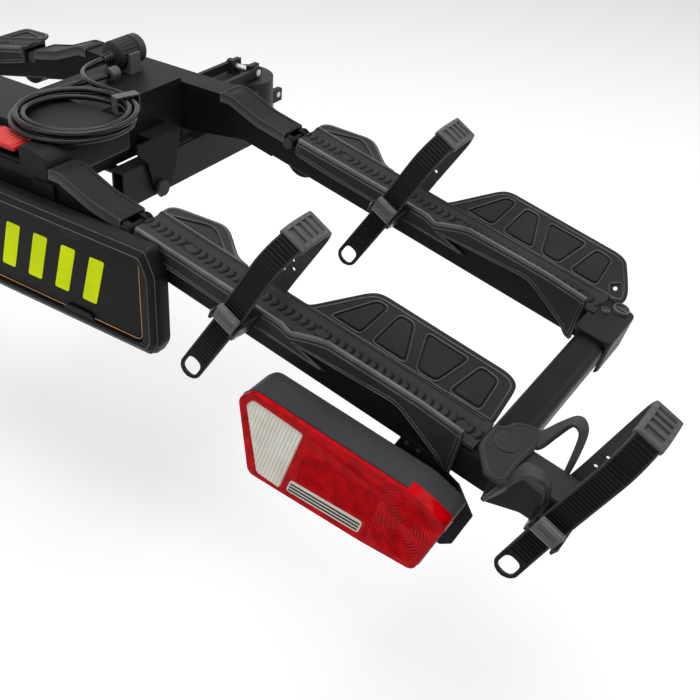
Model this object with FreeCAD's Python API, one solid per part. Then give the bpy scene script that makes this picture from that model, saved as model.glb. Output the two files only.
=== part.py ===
# Tow-ball bike rack with two folding wings, in millimetres.
# The origin is the centre of the tow ball, X runs across the car, +Y towards the car and +Z up.
import FreeCAD
import Part
import math
import os

V = FreeCAD.Vector
ALONG_X = V(1, 0, 0)
ALONG_Y = V(0, 1, 0)
ALONG_Z = V(0, 0, 1)
ORIGIN = V(0, 0, 0)

# Frame tubes and where the two crossmembers stand
TRAY_SPACING = 280.0
REAR_FACE = -470.0
FRONT_FACE = REAR_FACE + TRAY_SPACING
TUBE = 35.0
TUBE_WALL = 2.0
TUBE_CORNER = 4.0
END_TUBE_CORNER = 10.0

# Wing frame: x outward from the hinge, z square to the tubes
DROOP = 12.3
WING_START_X = 210.7
WING_START_Z = 67.6
WING_ORIGIN = V(WING_START_X, 0, WING_START_Z)
TUBE_TOP = 10.0
TUBE_BOTTOM = TUBE_TOP - TUBE
WING_REACH = 448.0
HINGE_X = 2.0
HINGE_Z = 3.5
HINGE_PIN_R = 4.0
HINGE_EAR_R = 6.5
HINGE_CHEEK_R = 8.0
SEAM_TOP_X = -4.5
SEAM_LEAN = 11.4
SEAM_GAP = 0.3
TONGUE_ROOT = -42.0
TUBE_CUT_X = 13.0

# Clearances
RUNNING = 0.05
SLIDING = 0.3

# Wheel trays
FLOOR = 17.0
SHEET = 3.0
TRAY_START = 15.0
TRAY_SHORT = 32.0
TRAY_END = WING_REACH - TRAY_SHORT
SHIELD_THICK = 4.0
SHIELD_ANGLE = 47.6
SHIELD_FOOT_Y = 40.0
FLAP_ANGLE = 15.0
FLAP_FOOT_Y = TUBE + 3.0
POCKET_DEPTH = 1.5
SCREW_XS = (71.0, 233.0, TRAY_END - 22.0)
SCREW_R = 2.5
SCREW_HEAD_R = 5.0
SCREW_HEAD = 2.5
SCREW_SINK = SCREW_HEAD + 0.3

# Straps
STRAP_WIDTH = 25.0
STRAP_THICK = 3.0
STRAP_X = 163.0
STRAP_LEAN = 18.0
STRAP_TOP = 107.0
PAD_WIDTH = 31.0
PAD_THICK = 8.0
END_STRAP_LEAN = 14.0
END_STRAP_TOP = 125.0
RATCHET_PIN_R = 2.0
STRAP_REAR_Y = -33.0
RATCHET_Y = STRAP_REAR_Y - 5.5
RATCHET_Z = -6.0

# Pull-out end piece
BAR_START = 250.0
BAR_WALL = 2.5
BLOCK_LENGTH = 76.0
BLOCK_END = WING_REACH + BLOCK_LENGTH
END_STRAP_X = BLOCK_END - 14.0
PLATE_LEVEL = 21.0
PLATE_THICK = 4.0
HORN_TOP = 64.0
KNOB_INSET = 11.0
KNOB_X = WING_REACH - KNOB_INSET
KNOB_R = 12.0
KNOB_CAP = 3.5

# Rear lamps
LAMP_FRONT = -60.0
LAMP_BACK = -18.0
LAMP_WALL = 2.5
LENS_DEPTH = 5.0
LAMP_OUTLINE = ((219, -21), (206, -38), (236, -121), (367, -108), (425, -99), (436, -24), (398, -15))
CLEAR_OUTLINE = ((180, 10), (281, 10), (277, -93), (365, -83), (362, -140), (180, -140))
BULBS = ((232, -62, 7.0), (325, -96, 7.0), (330, -52, 8.0), (402, -58, 8.0))

# Number plate and its holder
PLATE_LENGTH = 520.0
PLATE_HEIGHT = 110.0
PLATE_SHEET = 2.0
PLATE_LOW = -41.0
PLATE_HIGH = PLATE_LOW + PLATE_HEIGHT
PLATE_HALF = PLATE_LENGTH / 2
HOLDER_FRONT = REAR_FACE - 28.0
HOLDER_BACK = REAR_FACE - 7.0
HOLDER_SIDE = 15.0
HOLDER_HALF = PLATE_HALF + HOLDER_SIDE
HOLDER_TOP = PLATE_HIGH + 7.0
HOLDER_BOTTOM = PLATE_LOW - 8.0
HOLDER_WALL = 3.0
BRACKET_X = 90.0
BRACKET_WIDTH = 30.0

# Spine, coupling and tilt pin
SPINE_HALF = 49.5
SPINE_TOP = 110.0
SPINE_LOW = 36.0
SPINE_WALL = 3.0
RAIL_HALF = 50.0
RAIL_WIDTH = 20.0
RAIL_TOP = 34.0
RAIL_LOW = -14.0
RAIL_BACK = -320.0
RAIL_FRONT = -50.0
EAR_THICK = 4.0
TILT_Y = -262.0
TILT_Z = -4.0
TILT_PIN_R = 6.0
BALL_R = 25.0
HEAD_R = 42.0
HEAD_LOW = -18.0
HEAD_TOP = 48.0
LEVER_Z = 57.0
LEVER_PIN_R = 5.0
LEVER_LENGTH = 128.0
JAW_HALF = 19.7
JAW_PIN_Y = 47.0
JAW_PIN_Z = 12.0
JAW_PIN_R = 4.0

# Arms and covers
ARM_TOP = 105.0
ARM_LOW = 44.0
ARM_FLAT = 62.0
ARM_SHOULDER = 125.0
COVER_TOP = 122.0
COVER_HALF = 104.0
COVER_FRONT = -348.0
COVER_WALL = 3.0
CAP_WALL = 2.5
CAP_OVERHANG = 1.5
CAP_SKIRT = 9.0

# Release pedal
PEDAL_HALF = 64.0
PEDAL_TOP = 118.0
PEDAL_THICK = 6.0
PEDAL_REAR = -472.0
PEDAL_PIN_Y = -440.5
PEDAL_PIN_Z = 112.0
PEDAL_PIN_R = 3.0

# Cable
CABLE_R = 3.25
COIL_X = 68.0
COIL_Y = -386.0
CABLE_COIL = V(COIL_X, COIL_Y, 0)
COIL_OUTER = 70.0
COIL_PITCH = 8.0
COIL_LAYER = 7.4
COIL_TURNS = 2


def box(x0, x1, y0, y1, z0, z1):
    return Part.makeBox(x1 - x0, y1 - y0, z1 - z0, V(x0, y0, z0))


def rod(radius, start, axis, length):
    return Part.makeCylinder(radius, length, start, axis)


def face_of(corners):
    return Part.Face(Part.makePolygon(corners + corners[:1]))


def prism_xz(points, y0, y1):
    return face_of([V(x, y0, z) for x, z in points]).extrude(V(0, y1 - y0, 0))


def prism_yz(points, x0, x1):
    return face_of([V(x0, y, z) for y, z in points]).extrude(V(x1 - x0, 0, 0))


def prism_xy(points, z0, z1):
    return face_of([V(x, y, z0) for x, y in points]).extrude(V(0, 0, z1 - z0))


def inset_xz(points, y0, y1, amount):
    face = face_of([V(x, y0, z) for x, z in points])
    return face.makeOffset2D(-amount).extrude(V(0, y1 - y0, 0))


def soften(shape, radius, axis):
    """Round every straight edge that runs along the axis."""
    edges = []
    for edge in shape.Edges:
        run = edge.Vertexes[-1].Point - edge.Vertexes[0].Point
        if run.Length > 0 and run.cross(axis).Length < run.Length * 0.001:
            edges.append(edge)
    return shape.makeFillet(radius, edges)


def strip(route, bends, thickness, width):
    """A bent band: its middle line in y and z, a bend radius at each inner point, and its width along x."""
    runs = []
    for start, end in zip(route, route[1:]):
        length = math.hypot(end[0] - start[0], end[1] - start[1])
        runs.append(((end[0] - start[0]) / length, (end[1] - start[1]) / length))
    sides = []
    for offset in (thickness / 2, -thickness / 2):
        def shifted(point, run, by=offset):
            return V(-width / 2, point[0] - run[1] * by, point[1] + run[0] * by)
        here = shifted(route[0], runs[0])
        edges = []
        for point, radius, before, after in zip(route[1:], bends, runs, runs[1:]):
            turn = math.atan2(before[0] * after[1] - before[1] * after[0],
                              before[0] * after[0] + before[1] * after[1])
            reach = radius * math.tan(abs(turn) / 2)
            side = math.copysign(1, turn)
            enter = (point[0] - before[0] * reach, point[1] - before[1] * reach)
            leave = (point[0] + after[0] * reach, point[1] + after[1] * reach)
            centre = V(-width / 2, enter[0] - before[1] * radius * side, enter[1] + before[0] * radius * side)
            outward = V(-width / 2, point[0], point[1]) - centre
            middle = centre + outward * ((radius - side * offset) / outward.Length)
            first = shifted(enter, before)
            last = shifted(leave, after)
            edges.append(Part.makeLine(here, first))
            edges.append(Part.Arc(first, middle, last).toShape())
            here = last
        end = shifted(route[-1], runs[-1])
        edges.append(Part.makeLine(here, end))
        sides.append((shifted(route[0], runs[0]), edges, end))
    caps = [Part.makeLine(sides[0][0], sides[1][0]), Part.makeLine(sides[0][2], sides[1][2])]
    outline = Part.Wire(Part.__sortEdges__(sides[0][1] + sides[1][1] + caps))
    return Part.Face(outline).extrude(V(width, 0, 0))


def leaning(points, angle, y, z, thickness):
    """A plate with its outline in x and up the slope, leaning back from a foot line along x."""
    plate = prism_xy(points, -thickness, 0)
    plate.rotate(ORIGIN, ALONG_X, angle)
    plate.translate(V(0, y, z))
    return plate


def moved(shape, x=0.0, y=0.0, z=0.0):
    copy = shape.copy()
    copy.translate(V(x, y, z))
    return copy


def mirrored(shape):
    return shape.mirror(ORIGIN, ALONG_X)


def on_wing(shape, side):
    """Take a shape from the wing frame to its place on the right or left of the rack."""
    placed = shape.copy()
    placed.rotate(ORIGIN, ALONG_Y, DROOP)
    placed.translate(WING_ORIGIN)
    return mirrored(placed) if side == "left" else placed


def wing_point(x, z):
    lean = math.radians(DROOP)
    across = WING_ORIGIN.x + x * math.cos(lean) + z * math.sin(lean)
    return (across, WING_ORIGIN.z - x * math.sin(lean) + z * math.cos(lean))


def seam_x(z):
    return SEAM_TOP_X + (z - TUBE_TOP) * SEAM_LEAN / TUBE


def save(name, *solids):
    shape = solids[0] if len(solids) == 1 else Part.makeCompound(list(solids))
    shape.exportStep("parts/" + name + ".step")


os.makedirs("parts", exist_ok=True)

# Crossmembers: one gull-shaped box section each, with a hinge tongue in each end
BOTTOM_BEND = wing_point(-60, TUBE_BOTTOM)
TOP_BEND = wing_point(-45, TUBE_TOP)
SEAM_LOW = wing_point(seam_x(TUBE_BOTTOM), TUBE_BOTTOM)
SEAM_HIGH = wing_point(SEAM_TOP_X, TUBE_TOP)
ARM_HALF = ((ARM_FLAT, ARM_LOW), BOTTOM_BEND, SEAM_LOW, SEAM_HIGH, TOP_BEND, (ARM_SHOULDER, ARM_TOP))
ARM_OUTLINE = list(ARM_HALF) + [(-x, z) for x, z in reversed(ARM_HALF)]


def hinge_tongue(face_y):
    ear_low = HINGE_Z - HINGE_EAR_R
    ear_high = HINGE_Z + HINGE_EAR_R
    inner = face_y + TUBE_WALL
    outer = face_y + TUBE - TUBE_WALL
    tongue = box(TONGUE_ROOT, HINGE_X, inner + SLIDING, outer - SLIDING, ear_low, ear_high)
    eye = rod(HINGE_EAR_R, V(HINGE_X, inner + SLIDING, HINGE_Z), ALONG_Y, outer - inner - 2 * SLIDING)
    root = box(TONGUE_ROOT, seam_x(TUBE_BOTTOM) - SLIDING, inner, outer,
               TUBE_BOTTOM + TUBE_WALL, TUBE_TOP - TUBE_WALL)
    slot = box(seam_x(TUBE_BOTTOM), HINGE_X + HINGE_CHEEK_R, face_y + TUBE / 4, face_y + TUBE * 3 / 4,
               TUBE_BOTTOM, TUBE_TOP)
    hole = rod(HINGE_PIN_R, V(HINGE_X, face_y, HINGE_Z), ALONG_Y, TUBE)
    return tongue.fuse([eye, root]).cut([slot, hole])


def crossmember(face_y):
    beam = prism_xz(ARM_OUTLINE, face_y, face_y + TUBE)
    hollow = inset_xz(ARM_OUTLINE, face_y + TUBE_WALL, face_y + TUBE - TUBE_WALL, TUBE_WALL)
    mouth = box(-40, 10, face_y + TUBE_WALL, face_y + TUBE - TUBE_WALL,
                TUBE_BOTTOM + TUBE_WALL, TUBE_TOP - TUBE_WALL)
    beam = beam.cut([hollow, on_wing(mouth, "right"), on_wing(mouth, "left")])
    tongue = hinge_tongue(face_y)
    return beam.fuse([on_wing(tongue, "right"), on_wing(tongue, "left")]).removeSplitter()


PEDAL_LUG_X = PEDAL_HALF + 1.5
PEDAL_LUG_THICK = 4.0
PEDAL_BARREL_R = 5.0


def pedal_lugs():
    lugs = []
    for x in (PEDAL_LUG_X, -PEDAL_LUG_X - PEDAL_LUG_THICK):
        lug = box(x, x + PEDAL_LUG_THICK, PEDAL_PIN_Y - 5, REAR_FACE + TUBE, ARM_TOP - 1, PEDAL_PIN_Z + 5)
        lugs.append(lug)
    return lugs


pedal_pin_length = 2 * (PEDAL_LUG_X + PEDAL_LUG_THICK)
pedal_pin = rod(PEDAL_PIN_R, V(-pedal_pin_length / 2, PEDAL_PIN_Y, PEDAL_PIN_Z), ALONG_X, pedal_pin_length)
rear_beam = crossmember(REAR_FACE).fuse(pedal_lugs()).cut(pedal_pin)
save("rear_crossmember", rear_beam.removeSplitter())
save("front_crossmember", crossmember(FRONT_FACE))

# Fold pins with low heads, one through each tube end
PIN_HEAD_R = 7.0
PIN_HEAD = 1.2
fold_pins = []
for face_y in (REAR_FACE, FRONT_FACE):
    pin = rod(HINGE_PIN_R, V(HINGE_X, face_y - RUNNING, HINGE_Z), ALONG_Y, TUBE + 2 * RUNNING)
    for head_y in (face_y - RUNNING - PIN_HEAD, face_y + TUBE + RUNNING):
        pin = pin.fuse(rod(PIN_HEAD_R, V(HINGE_X, head_y, HINGE_Z), ALONG_Y, PIN_HEAD))
    for side in ("right", "left"):
        fold_pins.append(on_wing(pin.removeSplitter(), side))
save("fold_pins", *fold_pins)

# Wing frame: rear tube, front tube and the end tube that joins them, welded
CATCH_START = 2.0
CATCH_LENGTH = 38.0
CATCH_DEPTH = 10.0
BRACKET_SCREWS = ((359.0, -19.0), (372.0, -19.0))


def wing_tube(face_y):
    outer = soften(box(-20, WING_REACH, face_y, face_y + TUBE, TUBE_BOTTOM, TUBE_TOP), TUBE_CORNER, ALONG_X)
    bore = soften(box(-40, WING_REACH + 10, face_y + TUBE_WALL, face_y + TUBE - TUBE_WALL,
                      TUBE_BOTTOM + TUBE_WALL, TUBE_TOP - TUBE_WALL), TUBE_CORNER - TUBE_WALL, ALONG_X)
    beyond = 10.0
    seam = prism_xz([(-60, TUBE_BOTTOM - beyond),
                     (seam_x(TUBE_BOTTOM - beyond) + SEAM_GAP, TUBE_BOTTOM - beyond),
                     (seam_x(TUBE_TOP + beyond) + SEAM_GAP, TUBE_TOP + beyond),
                     (-60, TUBE_TOP + beyond)], face_y - 1, face_y + TUBE + 1)
    notch = box(-60, TUBE_CUT_X, face_y - 1, face_y + TUBE + 1, HINGE_Z, TUBE_TOP + beyond)
    tube = outer.cut([notch])
    for y in (face_y, face_y + TUBE - TUBE_WALL):
        tube = tube.fuse(rod(HINGE_CHEEK_R, V(HINGE_X, y, HINGE_Z), ALONG_Y, TUBE_WALL))
    hole = rod(HINGE_PIN_R + RUNNING, V(HINGE_X, face_y - 1, HINGE_Z), ALONG_Y, TUBE + 2)
    screws = [rod(SCREW_R, V(x, face_y + TUBE / 2, TUBE_TOP - TUBE_WALL), ALONG_Z, TUBE_WALL) for x in SCREW_XS]
    return tube.cut([bore, seam, hole] + screws)


def fold_catch(face_y):
    radius = (CATCH_LENGTH ** 2 / 4 + CATCH_DEPTH ** 2) / (2 * CATCH_DEPTH)
    middle = CATCH_START + CATCH_LENGTH / 2
    disc = rod(radius, V(middle, face_y + TUBE / 4, TUBE_BOTTOM - CATCH_DEPTH + radius), ALONG_Y, TUBE / 2)
    return disc.common(box(middle - radius, middle + radius, face_y, face_y + TUBE,
                           TUBE_BOTTOM - CATCH_DEPTH, TUBE_BOTTOM + TUBE_WALL / 2))


def wing_frame():
    end_outer = soften(box(WING_REACH - TUBE, WING_REACH, REAR_FACE + TUBE - TUBE_WALL, FRONT_FACE + TUBE_WALL,
                           TUBE_BOTTOM, TUBE_TOP), END_TUBE_CORNER, ALONG_Y)
    end_bore = soften(box(WING_REACH - TUBE + TUBE_WALL, WING_REACH - TUBE_WALL, REAR_FACE + TUBE, FRONT_FACE,
                          TUBE_BOTTOM + TUBE_WALL, TUBE_TOP - TUBE_WALL), END_TUBE_CORNER - TUBE_WALL, ALONG_Y)
    frame = wing_tube(REAR_FACE).fuse([wing_tube(FRONT_FACE), end_outer.cut(end_bore), fold_catch(FRONT_FACE)])
    holes = [rod(SCREW_R, V(x, REAR_FACE, z), ALONG_Y, TUBE_WALL) for x, z in BRACKET_SCREWS]
    return frame.cut(holes).removeSplitter()


# Wheel tray: a moulded channel over the tube, an apron with a lip behind, a shield and a flap in front
APRON_INNER = ((15, 17), (142, 18), (200, 17), (212, 13))
APRON_UPPER = ((176, 25), (163, 29), (99, 30), (60, 30), (12, 27))
APRON_LOWER = ((10, -30), (19, -28), (28, -18), (76, 8), (86, 10), (190, 4))
APRON_UNDER = ((155, -5), (60, -6), (15, -4))
SHIELD_OUTLINE = ((220, -2), (211, 3), (168, 43), (157, 48), (15, 47.5), (5, 44), (1, 38), (1, 0), (3, -2))
SHIELD_ROOT = 216.0
POCKETS = (
    ((189, 4), (154, 4), (144, 40), (157, 40)),
    ((140, 4), (101, 4), (114, 40), (131, 40)),
    ((89, 4), (67, 4), (52, 39), (99, 39)),
    ((52, 4), (18, 4), (18, 37), (39, 39)),
)
FLAP_OUTLINE = ((15, -2), (15, 8), (22, 15), (74, 28), (85, 25), (113, 4), (129, 2), (129, -2))
FLAP_POCKET = ((27, 3), (73, 19), (93, 3))
SADDLE = 16.0
TRAY_TAPER = 8.0


def before(end, points):
    """Points given by how far they lie inward of an end, as points measured from the hinge."""
    return [(end - x, z) for x, z in points]


def tray():
    floor = box(TRAY_START, TRAY_END, 0, TUBE, FLOOR - SHEET, FLOOR)
    edge = list(APRON_INNER) + before(TRAY_END, APRON_UPPER + APRON_LOWER) + list(APRON_UNDER)
    apron = prism_xz(edge, -SHEET, 0)
    skirt = box(TRAY_START, TRAY_END - TRAY_TAPER, TUBE, TUBE + SHEET, 2, FLOOR + 3)
    saddles = [box(x - SADDLE / 2, x + SADDLE / 2, SHEET, TUBE - SHEET, TUBE_TOP, FLOOR - SHEET) for x in SCREW_XS]
    shield = leaning(before(TRAY_END, SHIELD_OUTLINE), SHIELD_ANGLE, SHIELD_FOOT_Y, FLOOR, SHIELD_THICK)
    pockets = []
    for outline in POCKETS:
        pocket = leaning(before(TRAY_END, outline), SHIELD_ANGLE, SHIELD_FOOT_Y, FLOOR, POCKET_DEPTH)
        pockets.append(pocket)
    root = box(TRAY_END - SHIELD_ROOT, TRAY_END - TRAY_TAPER, TUBE, SHIELD_FOOT_Y + 2, 6, FLOOR - 1)
    flap = leaning(FLAP_OUTLINE, FLAP_ANGLE, FLAP_FOOT_Y, FLOOR + 2, SHEET)
    flap_pocket = leaning(FLAP_POCKET, FLAP_ANGLE, FLAP_FOOT_Y, FLOOR + 2, POCKET_DEPTH)
    shell = floor.fuse([apron, skirt, shield, root, flap] + saddles)
    screws = [rod(SCREW_R, V(x, TUBE / 2, TUBE_TOP), ALONG_Z, FLOOR - TUBE_TOP) for x in SCREW_XS]
    sinks = [rod(SCREW_HEAD_R + SLIDING, V(x, TUBE / 2, FLOOR - SCREW_SINK), ALONG_Z, SCREW_SINK) for x in SCREW_XS]
    return shell.cut(pockets + [flap_pocket] + screws + sinks).removeSplitter()


# Screws down through the trays and through the lamp bracket's foot
BRACKET_BACK = -3.0
BRACKET_SHEET = 3.0


def wing_screws():
    screws = []
    for face_y in (REAR_FACE, FRONT_FACE):
        for x in SCREW_XS:
            middle = face_y + TUBE / 2
            seat = FLOOR - SCREW_SINK
            head = rod(SCREW_HEAD_R, V(x, middle, seat), ALONG_Z, SCREW_HEAD)
            shank = rod(SCREW_R, V(x, middle, TUBE_TOP - TUBE_WALL), ALONG_Z, seat - TUBE_TOP + TUBE_WALL)
            screws.append(head.fuse(shank).removeSplitter())
    for x, z in BRACKET_SCREWS:
        seat = REAR_FACE + BRACKET_BACK - BRACKET_SHEET
        head = rod(SCREW_HEAD_R, V(x, seat - SCREW_HEAD, z), ALONG_Y, SCREW_HEAD)
        shank = rod(SCREW_R, V(x, seat, z), ALONG_Y, REAR_FACE + TUBE_WALL - seat)
        screws.append(head.fuse(shank).removeSplitter())
    return screws


# Ladder strap, its rim pad, its buckle and its ratchet lever, from the foot line at the tray floor
STRAP_FOOT_Y = TUBE + SHEET + STRAP_THICK / 2
STRAP_BACK_TOP_Y = 50.0
TAIL_END = (STRAP_REAR_Y - 11.0, -92.0)
END_TAIL = (STRAP_REAR_Y - 8.0, -73.0)
TAIL_BEND = (STRAP_REAR_Y, -22.0)
STRAP_BENDS = (20.0, 38.0, 28.0, 20.0)
PAD_START_Y = -17.0
PAD_END_Y = 33.0
FOOT_BEND_Z = 22.0
FOOT_LOW = -12.0


def strap_route(top, tail=TAIL_END):
    return [tail, TAIL_BEND, (STRAP_REAR_Y, top), (STRAP_BACK_TOP_Y, top),
            (STRAP_FOOT_Y, FOOT_BEND_Z), (STRAP_FOOT_Y, FOOT_LOW)]


def strap(top, tail=TAIL_END):
    return strip(strap_route(top, tail), STRAP_BENDS, STRAP_THICK, STRAP_WIDTH)


def rim_pad(top):
    whole = strip(strap_route(top), STRAP_BENDS, PAD_THICK, PAD_WIDTH)
    covered = box(-PAD_WIDTH, PAD_WIDTH, PAD_START_Y, PAD_END_Y, top / 2, top + PAD_THICK)
    return whole.common(covered).cut(strap(top)).removeSplitter()


BUCKLE_HALF = 16.0
BUCKLE_SHEET = 2.5
BUCKLE_TOP = 1.0
BUCKLE_LOW = -24.0
CHEEK_TOP = 2.0
CHEEK_LOW = -16.0
LEVER_HALF = 13.0
LEVER_TOP = 14.0


def buckle():
    base = box(-BUCKLE_HALF, BUCKLE_HALF, -SHEET - BUCKLE_SHEET, -SHEET, BUCKLE_LOW, BUCKLE_TOP)
    cheeks = []
    for x in (-BUCKLE_HALF, BUCKLE_HALF - BUCKLE_SHEET):
        cheeks.append(box(x, x + BUCKLE_SHEET, RATCHET_Y - 4, -SHEET - BUCKLE_SHEET, CHEEK_LOW, CHEEK_TOP))
    rest_y = STRAP_REAR_Y + STRAP_THICK / 2 + SLIDING
    rest = box(-BUCKLE_HALF, BUCKLE_HALF, rest_y, rest_y + BUCKLE_SHEET, CHEEK_LOW, CHEEK_TOP)
    pin = rod(RATCHET_PIN_R, V(-BUCKLE_HALF, RATCHET_Y, RATCHET_Z), ALONG_X, 2 * BUCKLE_HALF)
    return base.fuse(cheeks + [rest, pin]).removeSplitter()


def ratchet():
    barrel_r = 3.6
    barrel = rod(barrel_r, V(-LEVER_HALF, RATCHET_Y, RATCHET_Z), ALONG_X, 2 * LEVER_HALF)
    plate = box(-LEVER_HALF, LEVER_HALF, RATCHET_Y - barrel_r, RATCHET_Y - 1, RATCHET_Z, LEVER_TOP)
    grip = box(-LEVER_HALF, LEVER_HALF, RATCHET_Y - 8, RATCHET_Y - 1, LEVER_TOP - 5, LEVER_TOP)
    hole = rod(RATCHET_PIN_R + RUNNING, V(-LEVER_HALF, RATCHET_Y, RATCHET_Z), ALONG_X, 2 * LEVER_HALF)
    return barrel.fuse([plate, grip]).cut(hole).removeSplitter()


def at_strap(shape, face_y, x, lean):
    placed = shape.copy()
    placed.rotate(ORIGIN, ALONG_Y, lean)
    placed.translate(V(x, face_y, FLOOR))
    return placed


# Rear lamp: housing, reflector, bulbs, lens and clear lens on one bracket
LAMP_RIM = LAMP_FRONT + LENS_DEPTH
REFLECTOR_FRONT = -26.0
REFLECTOR_SHEET = 2.0
REFLECTOR_POSTS = ((235, -90), (330, -75), (415, -80))
BRACKET_OUTLINE = ((352, -14), (376, -14), (419, -28), (443, -53), (437, -98), (427, -108), (335, -106),
                   (300, -60), (345, -45))
BRACKET_FOOT = (352.0, 379.0)
STANDOFFS = ((330, -62), (412, -62))
STANDOFF_R = 8.0


def lamp_bracket():
    front = BRACKET_BACK - BRACKET_SHEET
    plate = prism_xz(BRACKET_OUTLINE, front, BRACKET_BACK)
    foot = box(BRACKET_FOOT[0], BRACKET_FOOT[1], BRACKET_BACK, 0, TUBE_BOTTOM, -14)
    posts = [rod(STANDOFF_R, V(x, LAMP_BACK, z), ALONG_Y, front - LAMP_BACK) for x, z in STANDOFFS]
    holes = [rod(SCREW_R, V(x, front, z), ALONG_Y, -front) for x, z in BRACKET_SCREWS]
    return moved(plate.fuse([foot] + posts).cut(holes).removeSplitter(), y=REAR_FACE)


def lamp_housing():
    body = prism_xz(LAMP_OUTLINE, LAMP_RIM, LAMP_BACK)
    hollow = inset_xz(LAMP_OUTLINE, LAMP_RIM, LAMP_BACK - LAMP_WALL, LAMP_WALL)
    return moved(body.cut(hollow), y=REAR_FACE)


def lamp_reflector():
    sheet = inset_xz(LAMP_OUTLINE, REFLECTOR_FRONT, REFLECTOR_FRONT + REFLECTOR_SHEET, LAMP_WALL + SLIDING)
    back = REFLECTOR_FRONT + REFLECTOR_SHEET
    posts = [rod(4, V(x, back, z), ALONG_Y, LAMP_BACK - LAMP_WALL - back) for x, z in REFLECTOR_POSTS]
    return moved(sheet.fuse(posts).removeSplitter(), y=REAR_FACE)


def lamp_bulbs():
    bulbs = []
    for x, z, radius in BULBS:
        socket = rod(radius * 0.7, V(x, REFLECTOR_FRONT - 8, z), ALONG_Y, 8)
        glass = Part.makeSphere(radius, V(x, REFLECTOR_FRONT - 8 - radius * 0.6, z))
        bulbs.append(moved(socket.fuse(glass).removeSplitter(), y=REAR_FACE))
    return bulbs


def lens_cap():
    cap = prism_xz(LAMP_OUTLINE, LAMP_FRONT, LAMP_RIM)
    return cap.cut(inset_xz(LAMP_OUTLINE, LAMP_FRONT + LAMP_WALL, LAMP_RIM, LAMP_WALL))


def clear_area():
    return prism_xz(CLEAR_OUTLINE, LAMP_FRONT - 1, LAMP_RIM + 1)


# Moulded cover over the wing's front corner, with a plug in the other wing's rear tube
CASE_COVERS = 39.5
CASE_START = WING_REACH - CASE_COVERS
CASE_WALL = 4.0
CASE_TOP = 16.0
CASE_REAR = FRONT_FACE - 55.0
CASE_FRONT = FRONT_FACE + TUBE + CASE_WALL
BOSSES = ((WING_REACH - 11.0, FRONT_FACE + 26.0, 10.0, 4.0), (WING_REACH - 24.0, FRONT_FACE + 11.0, 5.0, 3.0))


def end_cover():
    outside = box(CASE_START, WING_REACH + CASE_WALL, CASE_REAR, CASE_FRONT, TUBE_BOTTOM - 2, CASE_TOP)
    outside = soften(outside, 8, ALONG_Z)
    inside = box(CASE_START - 1, WING_REACH, CASE_REAR - 1, FRONT_FACE + TUBE, TUBE_BOTTOM - 3, TUBE_TOP)
    tray_room = box(CASE_START - 10, TRAY_END + SLIDING, FRONT_FACE - SHEET - SLIDING,
                    FRONT_FACE + TUBE + SHEET + 90, TUBE_BOTTOM - 8, CASE_TOP + 9)
    case = outside.cut([inside, tray_room])
    for x, y, radius, height in BOSSES:
        case = case.fuse(rod(radius, V(x, y, CASE_TOP), ALONG_Z, height))
    return case.removeSplitter()


def tube_plug():
    flange = soften(box(WING_REACH, WING_REACH + CASE_WALL, REAR_FACE, REAR_FACE + TUBE, TUBE_BOTTOM, TUBE_TOP),
                    TUBE_CORNER, ALONG_X)
    body = box(WING_REACH - 14, WING_REACH, REAR_FACE + TUBE_WALL, REAR_FACE + TUBE - TUBE_WALL,
               TUBE_BOTTOM + TUBE_WALL, TUBE_TOP - TUBE_WALL)
    return flange.fuse(soften(body, TUBE_CORNER - TUBE_WALL, ALONG_X)).removeSplitter()


wing_shapes = {
    "wing_frame": [wing_frame()],
    "tray_rear": [moved(tray(), y=REAR_FACE)],
    "tray_front": [moved(tray(), y=FRONT_FACE)],
    "wing_screws": wing_screws(),
    "lamp_bracket": [lamp_bracket()],
    "lamp_housing": [lamp_housing()],
    "lamp_reflector": [lamp_reflector()],
    "lamp_bulbs": lamp_bulbs(),
    "lamp_lens": [moved(lens_cap().cut(clear_area()), y=REAR_FACE)],
    "reverse_lens": [moved(lens_cap().common(clear_area()), y=REAR_FACE)],
    "wheel_straps": [],
    "rim_pads": [],
    "strap_buckles": [],
}
for face_y, place in ((REAR_FACE, "rear"), (FRONT_FACE, "front")):
    for name, shape in (("wheel_straps", strap(STRAP_TOP)), ("rim_pads", rim_pad(STRAP_TOP)),
                        ("strap_buckles", buckle())):
        wing_shapes[name].append(at_strap(shape, face_y, STRAP_X, STRAP_LEAN))
    wing_shapes["ratchet_" + place] = [at_strap(ratchet(), face_y, STRAP_X, STRAP_LEAN)]
for side in ("right", "left"):
    for name, shapes in wing_shapes.items():
        save(name + "_" + side, *[on_wing(shape, side) for shape in shapes])
save("end_cover_right", on_wing(end_cover(), "right"))
save("end_cover_left", on_wing(end_cover(), "left"), on_wing(tube_plug(), "left"))

# Pull-out end piece: a square bar in the rear tube, with a V cradle, a knob and its own strap
BAR_GAP = TUBE_WALL + SLIDING
CRADLE_PLATE = ((29, 2), (29, 33), (22, 38), (18, 52), (-7, 62), (-34, 44), (-39, -8), (-36, -27),
                (8, -27), (24, -3))
HORN_SIDE = ((8, 20), (-39, 20), (-38, HORN_TOP), (-14, HORN_TOP))
HORN_WINDOW = ((-6, 32), (-31, 32), (-30, 54), (-17, 54))


def extension_bar():
    bar = soften(box(BAR_START, BLOCK_END - 4, REAR_FACE + BAR_GAP, REAR_FACE + TUBE - BAR_GAP,
                     TUBE_BOTTOM + BAR_GAP, TUBE_TOP - BAR_GAP), 2, ALONG_X)
    bore = box(BAR_START - 1, BLOCK_END, REAR_FACE + BAR_GAP + BAR_WALL, REAR_FACE + TUBE - BAR_GAP - BAR_WALL,
               TUBE_BOTTOM + BAR_GAP + BAR_WALL, TUBE_TOP - BAR_GAP - BAR_WALL)
    return bar.cut(bore)


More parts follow.
